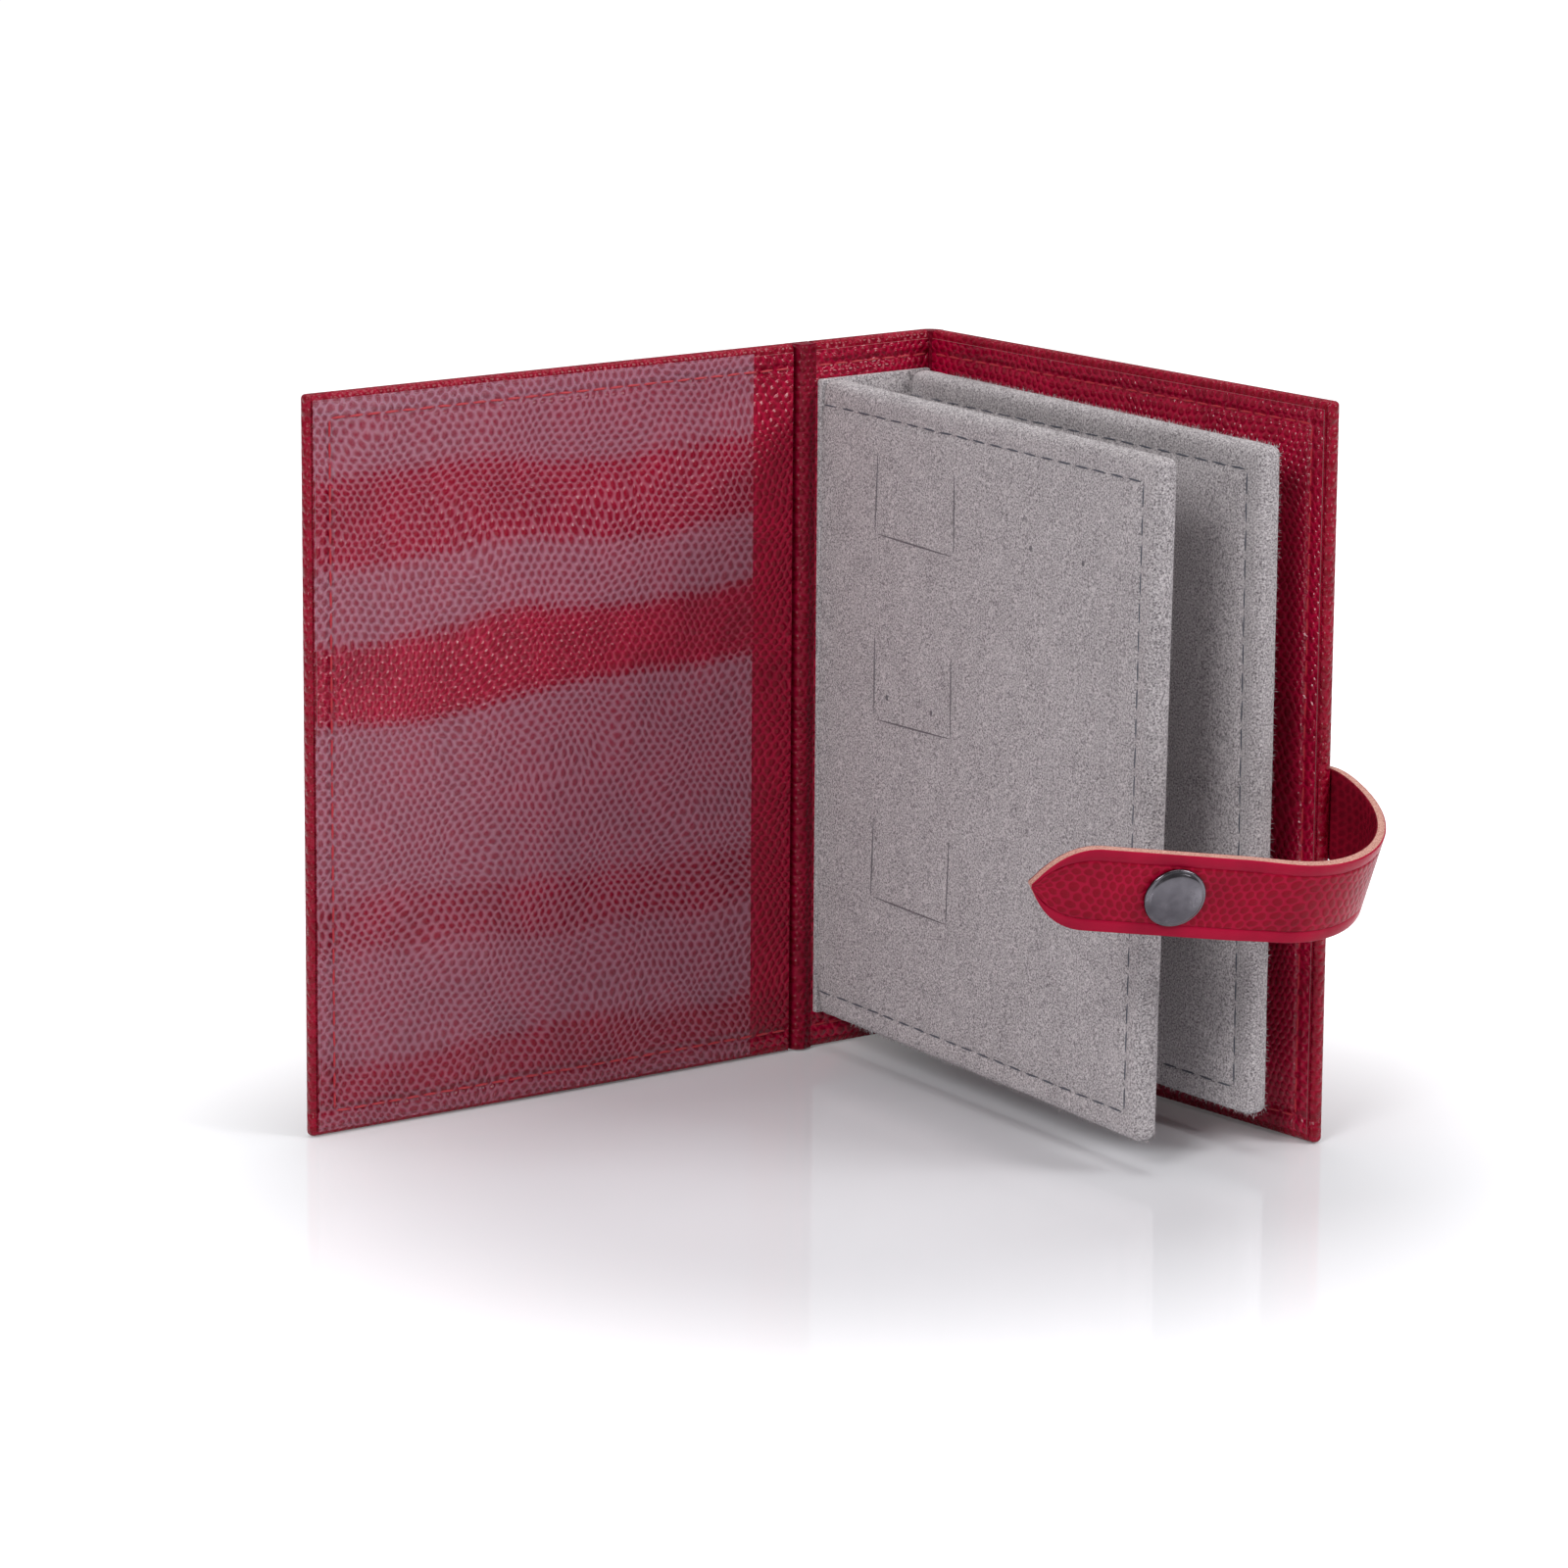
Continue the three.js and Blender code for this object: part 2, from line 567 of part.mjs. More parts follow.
// The split spring ring in the socket's mouth.
const spring_out = snap_cavity_radius - snap_hole_clearance;
const spring_in = spring_out - snap_spring_width;
const spring_gap = 0.25;
const spring_shape = new THREE.Shape();
spring_shape.absarc(0, 0, spring_out, spring_gap, 2 * Math.PI - spring_gap, false);
spring_shape.absarc(0, 0, spring_in, 2 * Math.PI - spring_gap, spring_gap, true);
const spring = new THREE.ExtrudeGeometry(spring_shape, {
  depth: snap_spring_height,
  bevelEnabled: false,
  curveSegments: 28,
});
spring.rotateX(Math.PI / 2);
spring.translate(snap_from_crease, socket_end + snap_hole_clearance + snap_spring_height, 0);
piece(strap_tongue, "snap_spring", spring, gunmetal);

export default earring_book;
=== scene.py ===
import json
import math
import random

import bmesh
import bpy
from mathutils import Matrix, Vector, noise


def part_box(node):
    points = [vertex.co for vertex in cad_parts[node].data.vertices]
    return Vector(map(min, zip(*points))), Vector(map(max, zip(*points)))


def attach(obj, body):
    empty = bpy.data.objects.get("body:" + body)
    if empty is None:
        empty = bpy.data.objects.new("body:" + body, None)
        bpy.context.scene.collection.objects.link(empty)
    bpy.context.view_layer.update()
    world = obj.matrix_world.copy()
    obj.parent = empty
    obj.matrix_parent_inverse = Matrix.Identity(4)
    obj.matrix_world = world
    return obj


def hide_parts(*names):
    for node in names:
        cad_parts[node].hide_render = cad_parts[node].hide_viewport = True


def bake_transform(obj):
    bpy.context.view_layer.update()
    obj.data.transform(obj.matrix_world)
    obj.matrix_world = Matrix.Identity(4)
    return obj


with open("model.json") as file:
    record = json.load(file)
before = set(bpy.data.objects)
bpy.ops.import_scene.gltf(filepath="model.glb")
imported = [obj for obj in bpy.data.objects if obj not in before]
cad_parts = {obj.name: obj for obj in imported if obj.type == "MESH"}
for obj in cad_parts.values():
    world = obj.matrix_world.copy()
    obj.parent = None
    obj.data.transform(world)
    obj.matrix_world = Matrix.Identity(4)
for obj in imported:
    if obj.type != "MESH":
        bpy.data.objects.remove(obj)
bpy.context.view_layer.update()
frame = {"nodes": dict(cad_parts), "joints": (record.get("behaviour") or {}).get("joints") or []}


# The stiff boards of the case and of the two leaves: 1.7 mm greyboard pressed from waste paper. They
# are sealed inside the wrap and the felt, and only give these their flat faces.
def rgb(code):
    """An sRGB hex colour as linear RGBA."""
    parts = [int(code[i : i + 2], 16) / 255 for i in (1, 3, 5)]
    return [p / 12.92 if p <= 0.04045 else ((p + 0.055) / 1.055) ** 2.4 for p in parts] + [1.0]


def surface(name, base, roughness, metallic=0.0):
    """A Principled material, with its tree and its shader's inputs."""
    made = bpy.data.materials.new(name)
    made.use_nodes = True
    sockets = made.node_tree.nodes["Principled BSDF"].inputs
    sockets["Base Color"].default_value = rgb(base)
    sockets["Roughness"].default_value = roughness
    sockets["Metallic"].default_value = metallic
    return made, made.node_tree, sockets


def node(tree, kind, sockets=None, **settings):
    """Adds a node: settings are its own, and each of its sockets takes a link or a plain value."""
    added = tree.nodes.new(kind)
    for key, value in settings.items():
        setattr(added, key, value)
    for key, value in (sockets or {}).items():
        if isinstance(value, bpy.types.NodeSocket):
            tree.links.new(value, added.inputs[key])
        else:
            added.inputs[key].default_value = value
    return added.outputs


# Greyboard: dull paper pulp with flecks of about 1 mm.
greyboard, tree, sockets = surface("greyboard", "#8d877c", 0.9)
spot = node(tree, "ShaderNodeTexCoord")["Object"]
fleck = node(tree, "ShaderNodeTexNoise", {"Vector": spot, "Scale": 1000.0, "Detail": 6.0})[0]
pulp = node(tree, "ShaderNodeMix", {0: fleck, 6: rgb("#6d675d"), 7: rgb("#a39d92")}, data_type="RGBA")[2]
tree.links.new(pulp, sockets["Base Color"])
for name in ("spine_board", "front_board", "back_board", "leaf_1_board", "leaf_2_board"):
    frame["nodes"][name].data.materials.clear()
    frame["nodes"][name].data.materials.append(greyboard)


# The wrap: one sheet of crimson leatherette glued over three boards and turned in round their edges,
# so that every edge is a soft roll. The covers are 118 mm and the spine 29 mm between the folds. The
# front cover lies flat with the spine, and the back cover stands 86.6 degrees round from it.
MM = 0.001
HEIGHT, REACH, FOLD, PANEL_START = 150.0, 121.0, 17.5, 2.8
OUTSIDE, INSIDE, WRAP_INSIDE = -0.6, 2.6, 2.32
MID_HEIGHT, STITCH_IN, BACK_OPEN = HEIGHT / 2, 4.9, 86.6
joint = {each["name"]: Vector(each["pos_m"]) / MM for each in frame["joints"]}


def plan(line, heading, side):
    """A panel's place: u along its heading from a line, w to its left (side 1) or right, z up, in mm."""
    c, s = math.cos(math.radians(heading)), math.sin(math.radians(heading))
    rows = ((c, -side * s, 0, line.x), (s, side * c, 0, line.y), (0, 0, 1, 0), (0, 0, 0, 1))
    return Matrix.Scale(MM, 4) @ Matrix(rows)


front_at = plan(joint["front_cover_fold"], 180, 1)
spine_at = plan(Vector((0, joint["front_cover_fold"].y)), 0, -1)
back_at = plan(joint["back_cover_fold"], -BACK_OPEN, -1)


def scale_rows(tree, sheet, cell):
    """Rows of reptile scales, half a scale apart from row to row: 1 on a scale's crown, 0 between scales."""
    width, height = cell
    sway = node(tree, "ShaderNodeTexNoise", {"Vector": sheet, "Scale": 0.04, "Detail": 1.0})["Color"]
    drift = node(tree, "ShaderNodeVectorMath", {0: sway, 1: (9, 9, 0), 2: sheet}, operation="MULTIPLY_ADD")[0]
    stir = node(tree, "ShaderNodeTexNoise", {"Vector": sheet, "Scale": 0.4, "Detail": 0.0})["Color"]
    unevenly = {0: stir, 1: (0.9, 0.9, 0), 2: drift}
    bent = node(tree, "ShaderNodeVectorMath", unevenly, operation="MULTIPLY_ADD")[0]
    pace = (1 / width, 0.5 / height, 0)
    away = []
    for shift in ((0, 0, 0), (0.5, 0.5, 0)):
        moved = node(tree, "ShaderNodeVectorMath", {0: bent, 1: pace, 2: shift}, operation="MULTIPLY_ADD")[0]
        part = node(tree, "ShaderNodeVectorMath", {0: moved}, operation="FRACTION")[0]
        aim = {0: part, 1: (1, 2 * height / width, 0), 2: (-0.5, -height / width, 0)}
        off = node(tree, "ShaderNodeVectorMath", aim, operation="MULTIPLY_ADD")[0]
        away.append(node(tree, "ShaderNodeVectorMath", {0: off}, operation="LENGTH")[1])
    nearest = node(tree, "ShaderNodeMath", {0: away[0], 1: away[1]}, operation="MINIMUM")[0]
    span = {0: nearest, 1: 0.47, 2: 0.16, 3: 0.0, 4: 1.0}
    return node(tree, "ShaderNodeMapRange", span, interpolation_type="SMOOTHSTEP")[0]


# Leatherette: glossy vinyl on cloth, embossed with domed scales of 2.1 x 1.5 mm in rows. Crowns and
# valleys differ in tone, the crowns glint, and every row of stitches lies in a pulled-down channel.
def leatherette(
    name, cell, tones, gloss, relief, specular, rows=(), print_edge=(0.0, 1.0), plain_beyond=None
):
    valley, crown = tones
    made, tree, sockets = surface(name, valley, gloss)
    sheet = node(tree, "ShaderNodeUVMap", uv_map="UVMap")[0]
    apart = node(tree, "ShaderNodeSeparateXYZ", {0: sheet})
    dome = scale_rows(tree, sheet, cell)
    if plain_beyond:
        off = node(tree, "ShaderNodeMath", {0: apart[1]}, operation="ABSOLUTE")[0]
        kept = node(tree, "ShaderNodeMath", {0: off, 1: plain_beyond}, operation="LESS_THAN")[0]
        dome = node(tree, "ShaderNodeMath", {0: dome, 1: kept}, operation="MULTIPLY")[0]
    grit = node(tree, "ShaderNodeTexNoise", {"Vector": sheet, "Scale": 2.4, "Detail": 3.0})[0]
    lumps = node(tree, "ShaderNodeTexNoise", {"Vector": sheet, "Scale": 0.1, "Detail": 3.0})[0]
    printed = node(tree, "ShaderNodeMapRange", {0: dome, 1: print_edge[0], 2: print_edge[1]})[0]
    tint = node(tree, "ShaderNodeMix", {0: printed, 6: rgb(valley), 7: rgb(crown)}, data_type="RGBA")[2]
    shade = node(tree, "ShaderNodeMapRange", {0: lumps, 1: 0.3, 2: 0.7, 3: 0.82, 4: 1.14})[0]
    colour = node(tree, "ShaderNodeVectorMath", {0: tint, "Scale": shade}, operation="SCALE")[0]
    tree.links.new(colour, sockets["Base Color"])
    dull = node(tree, "ShaderNodeMapRange", {0: grit, 1: 0.2, 2: 0.8, 3: gloss - 0.08, 4: gloss + 0.14})[0]
    tree.links.new(dull, sockets["Roughness"])
    height = dome
    for axis, place in rows:
        off = node(tree, "ShaderNodeMath", {0: apart[axis], 1: place}, operation="SUBTRACT")[0]
        off = node(tree, "ShaderNodeMath", {0: off}, operation="ABSOLUTE")[0]
        channel = {0: off, 1: 0.1, 2: 1.5, 3: -2.4, 4: 0.0}
        dent = node(tree, "ShaderNodeMapRange", channel, interpolation_type="SMOOTHSTEP")[0]
        height = node(tree, "ShaderNodeMath", {0: height, 1: dent}, operation="ADD")[0]
    slack = node(tree, "ShaderNodeBump", {"Height": lumps, "Strength": 0.3, "Distance": 1.2 * MM})[0]
    scales = {"Height": height, "Strength": relief, "Distance": 0.35 * MM, "Normal": slack}
    emboss = node(tree, "ShaderNodeBump", scales)[0]
    pores = {"Height": grit, "Strength": 0.15, "Distance": 0.1 * MM, "Normal": emboss}
    grain = node(tree, "ShaderNodeBump", pores)[0]
    tree.links.new(grain, sockets["Normal"])
    sockets["Specular IOR Level"].default_value = specular
    return made


SCALE = (2.1, 1.5)
CRIMSON = ("#a20431", "#860021")
far = FOLD + REACH - STITCH_IN
sewn_rows = ((1, STITCH_IN), (1, HEIGHT - STITCH_IN), (0, -far), (0, far))
wrap_skin = leatherette("leatherette_wrap", SCALE, ("#900628", "#7e001a"), 0.24, 0.6, 0.2, sewn_rows)


def slab(low, high):
    """A box between two corners, in mm in a panel's own frame."""
    bm = bmesh.new()
    low, high = Vector(low), Vector(high)
    lay = Matrix.Translation((low + high) / 2) @ Matrix.Diagonal((*(high - low), 1))
    bmesh.ops.create_cube(bm, size=1, matrix=lay)
    return bm


def round_over(bm, edges, radius, steps):
    bmesh.ops.bevel(bm, geom=edges, offset=radius, segments=steps, profile=0.5, affect="EDGES", material=-1)
    bm.normal_update()


def along(bm, axis, *within):
    """The edges that run along an axis (0 u, 1 w, 2 z), with both ends in each (axis, low, high) range."""
    found = []
    for edge in bm.edges:
        run = edge.verts[1].co - edge.verts[0].co
        inside = all(low <= v.co[a] <= high for a, low, high in within for v in edge.verts)
        if inside and abs(run[axis]) > 0.999 * run.length:
            found.append(edge)
    return found


def unroll(bm, sign, start):
    """UVs in mm as the sheet lay before it was glued: u along the case, v up it, turned edges rolled out."""
    layer = bm.loops.layers.uv.new("UVMap")
    for face in bm.faces:
        n = face.normal
        for loop in face.loops:
            u, w, z = loop.vert.co
            if abs(n.z) > max(abs(n.x), abs(n.y)):
                z += math.copysign(w, n.z)
            elif abs(n.x) > abs(n.y):
                u += math.copysign(w, n.x)
            loop[layer].uv = (sign * (u + start), z)


def add(name, bm, materials, body=None, stands_for=(), at=None, sharp=40):
    """Makes a piece of a mesh, put in its place, riding on a body and standing for CAD nodes."""
    if at:
        bmesh.ops.transform(bm, matrix=at, verts=bm.verts)
    bmesh.ops.recalc_face_normals(bm, faces=bm.faces)
    mesh = bpy.data.meshes.new(name)
    bm.to_mesh(mesh)
    bm.free()
    for each in materials:
        mesh.materials.append(each)
    mesh.polygons.foreach_set("use_smooth", [True] * len(mesh.polygons))
    mesh.set_sharp_from_angle(angle=math.radians(sharp))
    piece = bpy.data.objects.new(name, mesh)
    bpy.context.scene.collection.objects.link(piece)
    if body:
        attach(piece, body)
    if stands_for:
        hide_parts(*stands_for)
    return piece


panels = (
    ("front", "front_cover", front_at, PANEL_START, REACH, -1, FOLD),
    ("spine", "spine", spine_at, PANEL_START - FOLD, FOLD - PANEL_START, 1, 0),
    ("back", "back_cover", back_at, PANEL_START, REACH, 1, FOLD),
)
ANY, COVER_CORNER, EDGE_ROLL = 1000, 0.9, 1.2
for name, body, at, u0, u1, sign, start in panels:
    bm = slab((u0, OUTSIDE, 0), (u1, WRAP_INSIDE, HEIGHT))
    rolled = along(bm, 0)
    if name != "spine":
        round_over(bm, along(bm, 1, (0, u1 - 0.1, ANY)), COVER_CORNER, 3)
        level = [e for e in bm.edges if abs(e.verts[0].co.y - e.verts[1].co.y) < 0.01]
        rolled = [e for e in level if max(v.co.x for v in e.verts) > u0 + 0.1]
    round_over(bm, rolled, EDGE_ROLL, 5)
    unroll(bm, sign, start)
    add(name + "_wrap", bm, [wrap_skin], body, [name + "_skin"], at)


# The lining: three sheets of the same leatherette, 0.6 mm thick, glued inside over the turned edges of
# the wrap. They are cut 1.7 mm short all round, so a thin raw edge of backing cloth shows.
LINING_IN = 1.7
lining_skin = leatherette("leatherette_lining", SCALE, CRIMSON, 0.15, 0.75, 0.34, sewn_rows)

# The raw edge of leatherette: woven backing cloth, dyed through to a dull red with paler threads of
# 0.3 mm.
cut_edge, tree, sockets = surface("leatherette_cut_edge", "#7d3038", 0.85)
spot = node(tree, "ShaderNodeTexCoord")["Object"]
fibre = node(tree, "ShaderNodeTexNoise", {"Vector": spot, "Scale": 3300.0, "Detail": 3.0})[0]
cloth = node(tree, "ShaderNodeMix", {0: fibre, 6: rgb("#6c1626"), 7: rgb("#b0686e")}, data_type="RGBA")[2]
tree.links.new(cloth, sockets["Base Color"])

for name, body, at, u0, u1, sign, start in panels:
    end = u1 - (0.1 if name == "spine" else LINING_IN)
    bm = slab((u0 + 0.1, WRAP_INSIDE - 0.1, LINING_IN), (end, INSIDE, HEIGHT - LINING_IN))
    bm.normal_update()
    for face in bm.faces:
        face.material_index = 0 if abs(face.normal.y) > 0.5 else 1
    shown = [e for e in bm.edges if all(v.co.y > INSIDE - 0.01 for v in e.verts)]
    round_over(bm, shown, 0.12, 2)
    unroll(bm, sign, start)
    add(name + "_lining_sheet", bm, [lining_skin, cut_edge], body, [name + "_lining"], at)


# The two soft folds, where wrap and lining are glued to each other with no board between. The front
# fold lies flat, with a groove by the cover and a round ridge by the spine; the back one is bent square.
# The folds wear the same leatherette as the lining in darker tones: painted shade, for the shade the leaves'
# roots cast on them.
fold_skin_painted_shade = leatherette("leatherette_fold_painted_shade", (1.7, 1.5), ("#800626", "#6c0016"), 0.3, 0.6, 0.16)
FOLD_END = 0.2


def bell(x, middle, width):
    return math.exp(-(((x - middle) / width) ** 2))


bm = slab((-FOLD - PANEL_START, -1.6, FOLD_END), (PANEL_START - FOLD, 1.6, HEIGHT - FOLD_END))
for k in range(1, 22):
    cut = -FOLD - PANEL_START + k * 2 * PANEL_START / 22
    whole = bm.verts[:] + bm.edges[:] + bm.faces[:]
    bmesh.ops.bisect_plane(bm, geom=whole, plane_co=(cut, 0, 0), plane_no=(1, 0, 0))
for k in range(1, 50):
    level = (0, 0, FOLD_END + k * (HEIGHT - 2 * FOLD_END) / 50)
    whole = bm.verts[:] + bm.edges[:] + bm.faces[:]
    bmesh.ops.bisect_plane(bm, geom=whole, plane_co=level, plane_no=(0, 0, 1))
bm.normal_update()
layer = bm.loops.layers.uv.new("UVMap")
for face in bm.faces:
    for loop in face.loops:
        loop[layer].uv = (loop.vert.co.x + (40 if face.normal.y > 0.5 else 0), loop.vert.co.z)
for v in bm.verts:
    x, y, z = v.co
    if y < 0:
        wander = 0.15 * noise.noise(Vector((0, 1, z * 0.06)))
        groove, ridge = 1.9 * bell(x, -19.5 + wander, 0.62), 0.62 * bell(x, -16.9 + wander, 1.25)
        v.co.y += groove - ridge
front_fold = add("front_fold", bm, [fold_skin_painted_shade], None, ["front_hinge"], Matrix.Scale(MM, 4))
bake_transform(front_fold)

BACK_TURN = math.radians(BACK_OPEN)
bend = PANEL_START / math.tan(BACK_TURN / 2)
pivot = Vector((FOLD - PANEL_START, joint["back_cover_fold"].y - bend, 0))
bm = bmesh.new()
near, far_out, low, high = 0.5, bend + 0.6, FOLD_END, HEIGHT - FOLD_END
ring = ((near, low), (far_out, low), (far_out, high), (near, high))
corners = [bm.verts.new((pivot.x, pivot.y + r, z)) for r, z in ring]
rims = [bm.edges.new((corners[k], corners[(k + 1) % 4])) for k in range(4)]
bmesh.ops.spin(bm, geom=corners + rims, cent=pivot, axis=(0, 0, 1), angle=-BACK_TURN, steps=14)
bmesh.ops.holes_fill(bm, edges=[e for e in bm.edges if e.is_boundary])
layer = bm.loops.layers.uv.new("UVMap")
for face in bm.faces:
    for loop in face.loops:
        arm = loop.vert.co - pivot
        turned = math.atan2(arm.x, arm.y) / BACK_TURN
        loop[layer].uv = (FOLD + 4.5 * turned + (0 if math.hypot(arm.x, arm.y) > 1 else 30), loop.vert.co.z)
back_fold = add("back_fold", bm, [fold_skin_painted_shade], None, ["back_hinge"], Matrix.Scale(MM, 4))
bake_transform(back_fold)


# The case stitching: one row of crimson thread round each cover and across the spine's ends, and two
# rows down the spine that hold the felt. A stitch is 3.3 mm of 0.5 mm thread, sunk at both ends.
random.seed(7)
CASE_STITCH, CASE_PITCH, CASE_THREAD, FILM_STANDS = 3.3, 4.2, 0.25, 0.3


# Sewing thread: polyester with a soft sheen; random darker flecks of about 0.25 mm are painted shade for the
# gaps between its plies.
def sewing_thread(name, dark, light):
    made, tree, sockets = surface(name, dark, 0.6)
    spot = node(tree, "ShaderNodeTexCoord")["Object"]
    ply = node(tree, "ShaderNodeTexNoise", {"Vector": spot, "Scale": 4000.0, "Detail": 2.0})[0]
    tone = node(tree, "ShaderNodeMix", {0: ply, 6: rgb(dark), 7: rgb(light)}, data_type="RGBA")[2]
    tree.links.new(tone, sockets["Base Color"])
    sockets["Sheen Weight"].default_value = 0.2
    return made


crimson_thread = sewing_thread("crimson_thread", "#8a0016", "#c4142e")


def sew(bm, at, start, end, out, pitch, stitch, thick):
    """A row of stitches between two points of a panel, in mm, each a slim bead that lies on the surface."""
    start, end, out = Vector(start), Vector(end), Vector(out)
    run = end - start
    count = max(round(run.length / pitch), 1)
    ahead = run.normalized()
    turn = Matrix((ahead.cross(out), out, ahead)).transposed().to_4x4()
    for k in range(count):
        lean = Matrix.Rotation(random.uniform(-0.05, 0.05), 4, "Y")
        bead = Matrix.Diagonal((thick, 0.8 * thick, stitch / 2, 1))
        where = at @ Matrix.Translation(start + run * (k + 0.5) / count) @ turn @ lean @ bead
        bmesh.ops.create_uvsphere(bm, u_segments=7, v_segments=6, radius=1, matrix=where)


for name, body, at, u0, u1, sign, start in panels:
    bm = bmesh.new()
    low, high = STITCH_IN, HEIGHT - STITCH_IN
    fore = u1 - STITCH_IN
    for w, out in ((INSIDE + (FILM_STANDS if name == "front" else 0), 1), (OUTSIDE, -1)):
        if name == "spine":
            rows = [((u0 + 0.5, low), (u1 - 0.5, low)), ((u0 + 0.5, high), (u1 - 0.5, high))]
            if out < 0:
                rows += [((u, low + 1), (u, high - 1)) for u in (-11, 11)]
        else:
            rows = [((u0 + 1, high), (fore, high)), ((fore, high), (fore, low)), ((fore, low), (u0 + 1, low))]
        for (ua, za), (ub, zb) in rows:
            sew(bm, at, (ua, w, za), (ub, w, zb), (0, out, 0), CASE_PITCH, CASE_STITCH, CASE_THREAD)
    add(body + "_stitches", bm, [crimson_thread], body)


# The pocket: a sheet of soft clear vinyl, 107 x 148 mm, sewn round three sides of the front cover's
# inside and open by the fold. It touches the crowns of the scales and stands off between them.
POCKET_OPEN, POCKET_IN = 13.2, 1.1
pocket_wide, pocket_tall = REACH - POCKET_IN - POCKET_OPEN, HEIGHT - 2 * POCKET_IN

# Clear vinyl: glossy and faintly milky. Where it stands off the lining it looks pink and hazy, with the
# red of each scale's crown showing through as a dot; the pink haze is partly the vinyl's own milkiness and
# partly a painted reflection of the lit grey felt leaf that faces the pocket. It clings in level bands 10
# to 16 mm high: each has its level, half its height and how far the film still stands off in it.
CLINGS = ((100, 7, 0.0), (131, 8, 0.45), (48, 5, 0.7), (14, 8, 0.55))
vinyl, tree, sockets = surface("clear_vinyl", "#b48397", 0.12)
sheet = node(tree, "ShaderNodeUVMap", uv_map="UVMap")[0]
wave = node(tree, "ShaderNodeTexNoise", {"Vector": sheet, "Scale": 0.02, "Detail": 2.0})[0]
apart = node(tree, "ShaderNodeSeparateXYZ", {0: sheet})
level = node(tree, "ShaderNodeMath", {0: wave, 1: 14.0, 2: apart[1]}, operation="MULTIPLY_ADD")[0]
band = 1.0
for middle, half, least in CLINGS:
    off = node(tree, "ShaderNodeMath", {0: level, 1: middle}, operation="SUBTRACT")[0]
    off = node(tree, "ShaderNodeMath", {0: off}, operation="ABSOLUTE")[0]
    open_out = {0: off, 1: half - 2, 2: half + 3, 3: least, 4: 1.0}
    loose = node(tree, "ShaderNodeMapRange", open_out, interpolation_type="SMOOTHSTEP")[0]
    band = node(tree, "ShaderNodeMath", {0: loose, 1: band}, operation="MINIMUM")[0]
crown = scale_rows(tree, sheet, SCALE)
stands = node(tree, "ShaderNodeMath", {0: crown, 1: -0.88, 2: band}, operation="MULTIPLY_ADD")[0]
# The haze is the vinyl's own milkiness together with a painted reflection of the felt leaf in front of it.
haze_and_painted_reflection = node(tree, "ShaderNodeMapRange", {0: stands, 1: -0.2, 2: 1.0, 3: 0.01, 4: 0.52})[0]
from_middle = node(tree, "ShaderNodeMath", {0: apart[1], 1: MID_HEIGHT}, operation="SUBTRACT")[0]
from_middle = node(tree, "ShaderNodeMath", {0: from_middle}, operation="ABSOLUTE")[0]
past_seam = {0: from_middle, 1: MID_HEIGHT - 4.6, 2: MID_HEIGHT - 4.0, 3: 0.0, 4: 0.06}
hem = node(tree, "ShaderNodeMapRange", past_seam)[0]
milk_and_painted_reflection = node(tree, "ShaderNodeMath", {0: haze_and_painted_reflection, 1: hem}, operation="ADD")[0]
tree.links.new(milk_and_painted_reflection, sockets["Alpha"])
ripple = node(tree, "ShaderNodeBump", {"Height": band, "Strength": 0.3, "Distance": 1 * MM})[0]
over_scales = {"Height": crown, "Strength": 0.4, "Distance": 0.15 * MM, "Normal": ripple}
pimple = node(tree, "ShaderNodeBump", over_scales)[0]
tree.links.new(pimple, sockets["Normal"])

bm = bmesh.new()
bmesh.ops.create_grid(bm, x_segments=30, y_segments=75, size=0.5)
middle = Matrix.Translation((POCKET_OPEN + pocket_wide / 2, INSIDE + 0.24, MID_HEIGHT))
upright = middle @ Matrix.Rotation(math.pi / 2, 4, "X") @ Matrix.Diagonal((pocket_wide, pocket_tall, 1, 1))
bmesh.ops.transform(bm, matrix=upright, verts=bm.verts)
layer = bm.loops.layers.uv.new("UVMap")
for face in bm.faces:
    for loop in face.loops:
        loop[layer].uv = (-(loop.vert.co.x + FOLD), loop.vert.co.z)
for v in bm.verts:
    v.co.y += 0.1 * noise.noise(Vector((v.co.x * 0.012, v.co.z * 0.07, 3)))
pocket = add("pocket_film", bm, [vinyl], "front_cover", ["front_pocket"], front_at)


# The felt strip, 28 x 134.5 mm, glued inside the spine and caught by the two rows of spine stitches.
# The roots of both leaves are sewn to it.
STRIP_HALF, LEAF_LOW, LEAF_HIGH = 14.2, 7.75, 142.25

# Wool-mix felt: matt, pressed from grey and white fibres, so it looks salt-and-pepper. The flecks are
# drawn 0.4 mm wide, coarser than the real fibres, so that they show.
felt, tree, sockets = surface("grey_felt", "#9b9396", 0.95)
spot = node(tree, "ShaderNodeTexCoord")["Object"]
flecks = {"Vector": spot, "Scale": 2500.0, "Detail": 3.0, "Roughness": 0.8}
fleck = node(tree, "ShaderNodeTexNoise", flecks)[0]
cloud = node(tree, "ShaderNodeTexNoise", {"Vector": spot, "Scale": 130.0, "Detail": 3.0})[0]
mixed = node(tree, "ShaderNodeMath", {0: cloud, 1: 0.06, 2: fleck}, operation="MULTIPLY_ADD")[0]
pepper = node(tree, "ShaderNodeMapRange", {0: mixed, 1: 0.39, 2: 0.67})[0]
wool = node(tree, "ShaderNodeMix", {0: pepper, 6: rgb("#5a5357"), 7: rgb("#d6cfd1")}, data_type="RGBA")[2]
tree.links.new(wool, sockets["Base Color"])
nap = node(tree, "ShaderNodeBump", {"Height": fleck, "Strength": 0.6, "Distance": 0.4 * MM})[0]
tree.links.new(nap, sockets["Normal"])
sockets["Sheen Weight"].default_value = 0.2
sockets["Sheen Roughness"].default_value = 0.5
sockets["Specular IOR Level"].default_value = 0.2

